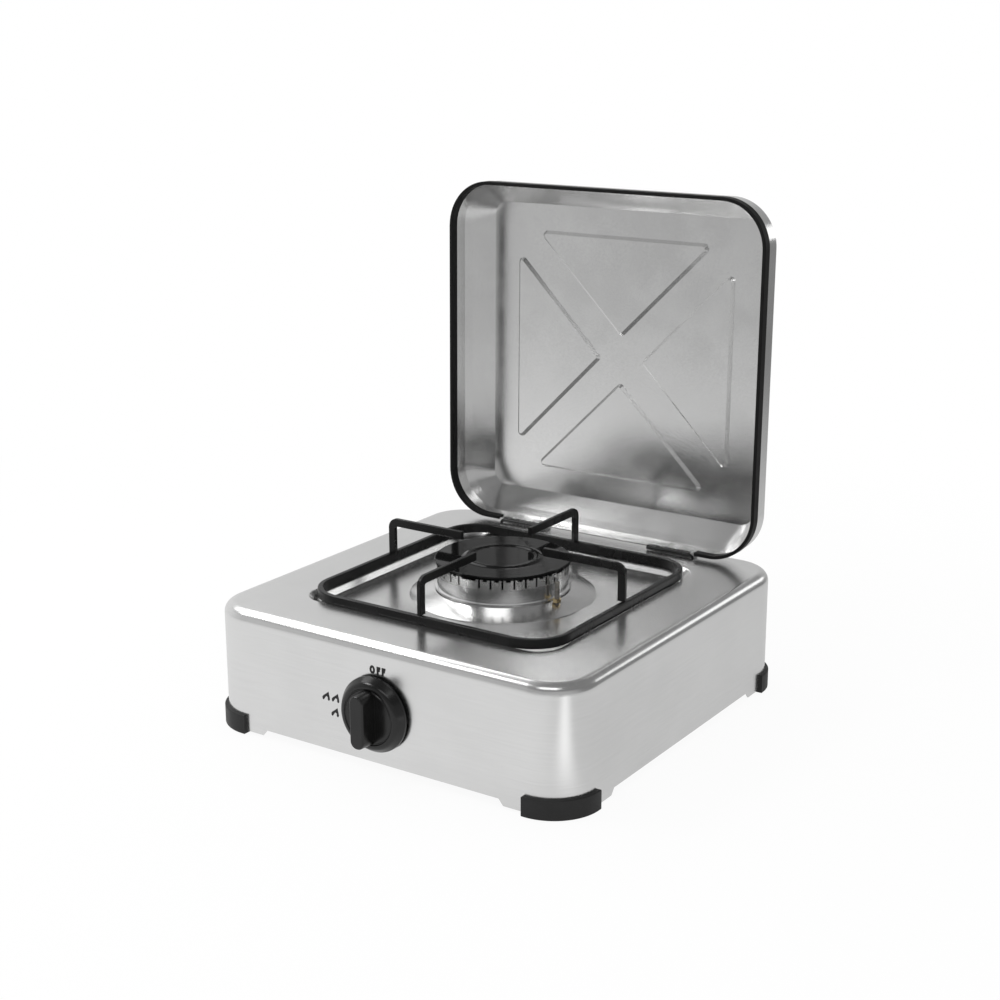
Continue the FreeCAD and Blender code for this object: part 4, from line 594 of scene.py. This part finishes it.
def lay_floor():
    """A pale floor that keeps a faint shadow of the stove."""
    work = bmesh.new()
    bmesh.ops.create_grid(work, x_segments=8, y_segments=8, size=FLOOR_REACH)
    mesh = bpy.data.meshes.new("studio_floor")
    work.to_mesh(mesh)
    work.free()
    floor = bpy.data.objects.new("studio_floor", mesh)
    bpy.context.scene.collection.objects.link(floor)
    floor.location = (0, 0, -FLOOR_DROP)
    finish = bpy.data.materials.new("white_floor")
    finish.use_nodes = True
    tree = finish.node_tree
    tree.nodes.clear()
    matt = add_node(tree, "BsdfDiffuse")
    matt.inputs["Color"].default_value = grey(FLOOR_COLOUR)
    rays = add_node(tree, "LightPath")
    glow = add_node(tree, "Emission")
    glow.inputs["Color"].default_value = grey(1.0)
    # In reflections the floor glows at these painted levels; to the camera it is plain white
    feed(tree, glow.inputs["Strength"],
         blend_numbers(tree, rays.outputs["Is Camera Ray"], floor_level(tree), 1.0))
    both = add_node(tree, "MixShader")
    place = add_node(tree, "TexCoord")
    reach = add_node(tree, "VectorMath", operation="LENGTH")
    feed(tree, reach.inputs[0], place.outputs["Object"])
    share = remap(tree, reach.outputs["Value"], *GLOW_RANGE, FLOOR_GLOW, 1.0)
    feed(tree, both.inputs[0], calculate(tree, "MULTIPLY", seen_directly(tree), share))
    tree.links.new(matt.outputs[0], both.inputs[1])
    tree.links.new(glow.outputs[0], both.inputs[2])
    surface = add_node(tree, "OutputMaterial")
    tree.links.new(both.outputs[0], surface.inputs["Surface"])
    floor.data.materials.append(finish)


def seen_directly(tree):
    """1 for what the camera sees, also in reflections and through glass."""
    rays = add_node(tree, "LightPath")
    either = calculate(tree, "MAXIMUM", rays.outputs["Is Camera Ray"], rays.outputs["Is Glossy Ray"])
    return calculate(tree, "MAXIMUM", either, rays.outputs["Is Transmission Ray"])


def light_room():
    """A white surround at a plain level, with large soft lamps."""
    world = bpy.data.worlds.new("white_room")
    bpy.context.scene.world = world
    world.use_nodes = True
    tree = world.node_tree
    tree.nodes.clear()
    surround = add_node(tree, "Background")
    surround.inputs["Color"].default_value = grey(1.0)
    aim = add_node(tree, "TexCoord")
    split = add_node(tree, "SeparateXYZ")
    feed(tree, split.inputs[0], aim.outputs["Generated"])
    ceiling = remap(tree, split.outputs[2], *CEILING_RANGE, 0.0, CEILING_LOSS)
    walls = calculate(tree, "SUBTRACT", wall_level(tree, split.outputs[0], split.outputs[1]), ceiling)
    walls = calculate(tree, "MAXIMUM", walls, CEILING_DARKEST)
    rays = add_node(tree, "LightPath")
    seen = blend_numbers(tree, rays.outputs["Is Camera Ray"], walls, 1.0)
    feed(tree, surround.inputs["Strength"], blend_numbers(tree, seen_directly(tree), PLAIN_LIGHT, seen))
    surface = add_node(tree, "OutputWorld")
    tree.links.new(surround.outputs[0], surface.inputs["Surface"])
    for name, (place, width, height, power) in LAMPS.items():
        lamp = bpy.data.lights.new(name, "AREA")
        lamp.shape = "RECTANGLE"
        lamp.size = width
        lamp.size_y = height
        lamp.energy = power
        stand = bpy.data.objects.new(name, lamp)
        bpy.context.scene.collection.objects.link(stand)
        stand.location = place
        aim_line = Vector(LAMP_AIM) - Vector(place)
        stand.rotation_euler = aim_line.to_track_quat("-Z", "Y").to_euler()


def set_camera():
    """The photograph's view: front right, slightly above."""
    yaw, pitch, roll = (math.radians(angle) for angle in (CAMERA_YAW, CAMERA_PITCH, CAMERA_ROLL))
    ahead = Vector((-math.sin(yaw) * math.cos(pitch), math.cos(yaw) * math.cos(pitch), math.sin(pitch)))
    level = Vector((math.cos(yaw), math.sin(yaw), 0.0))
    upright = level.cross(ahead)
    right = math.cos(roll) * level + math.sin(roll) * upright
    above = right.cross(ahead)
    lens = bpy.data.cameras.new("photo_view")
    lens.lens = LENS_LENGTH
    lens.sensor_width = SENSOR_WIDTH
    lens.clip_start = NEAREST_SEEN
    view = bpy.data.objects.new("photo_view", lens)
    bpy.context.scene.collection.objects.link(view)
    turned = Matrix((right, above, -ahead)).transposed().to_4x4()
    view.matrix_world = Matrix.Translation(Vector(CAMERA_PLACE)) @ turned
    bpy.context.scene.camera = view


set_camera()
lay_ignition_lead()
paint_cad_nodes()
print_off_mark()
print_flame_marks()
lid_wall_marks()
lay_floor()
light_room()
bpy.context.scene.view_settings.view_transform = "Standard"
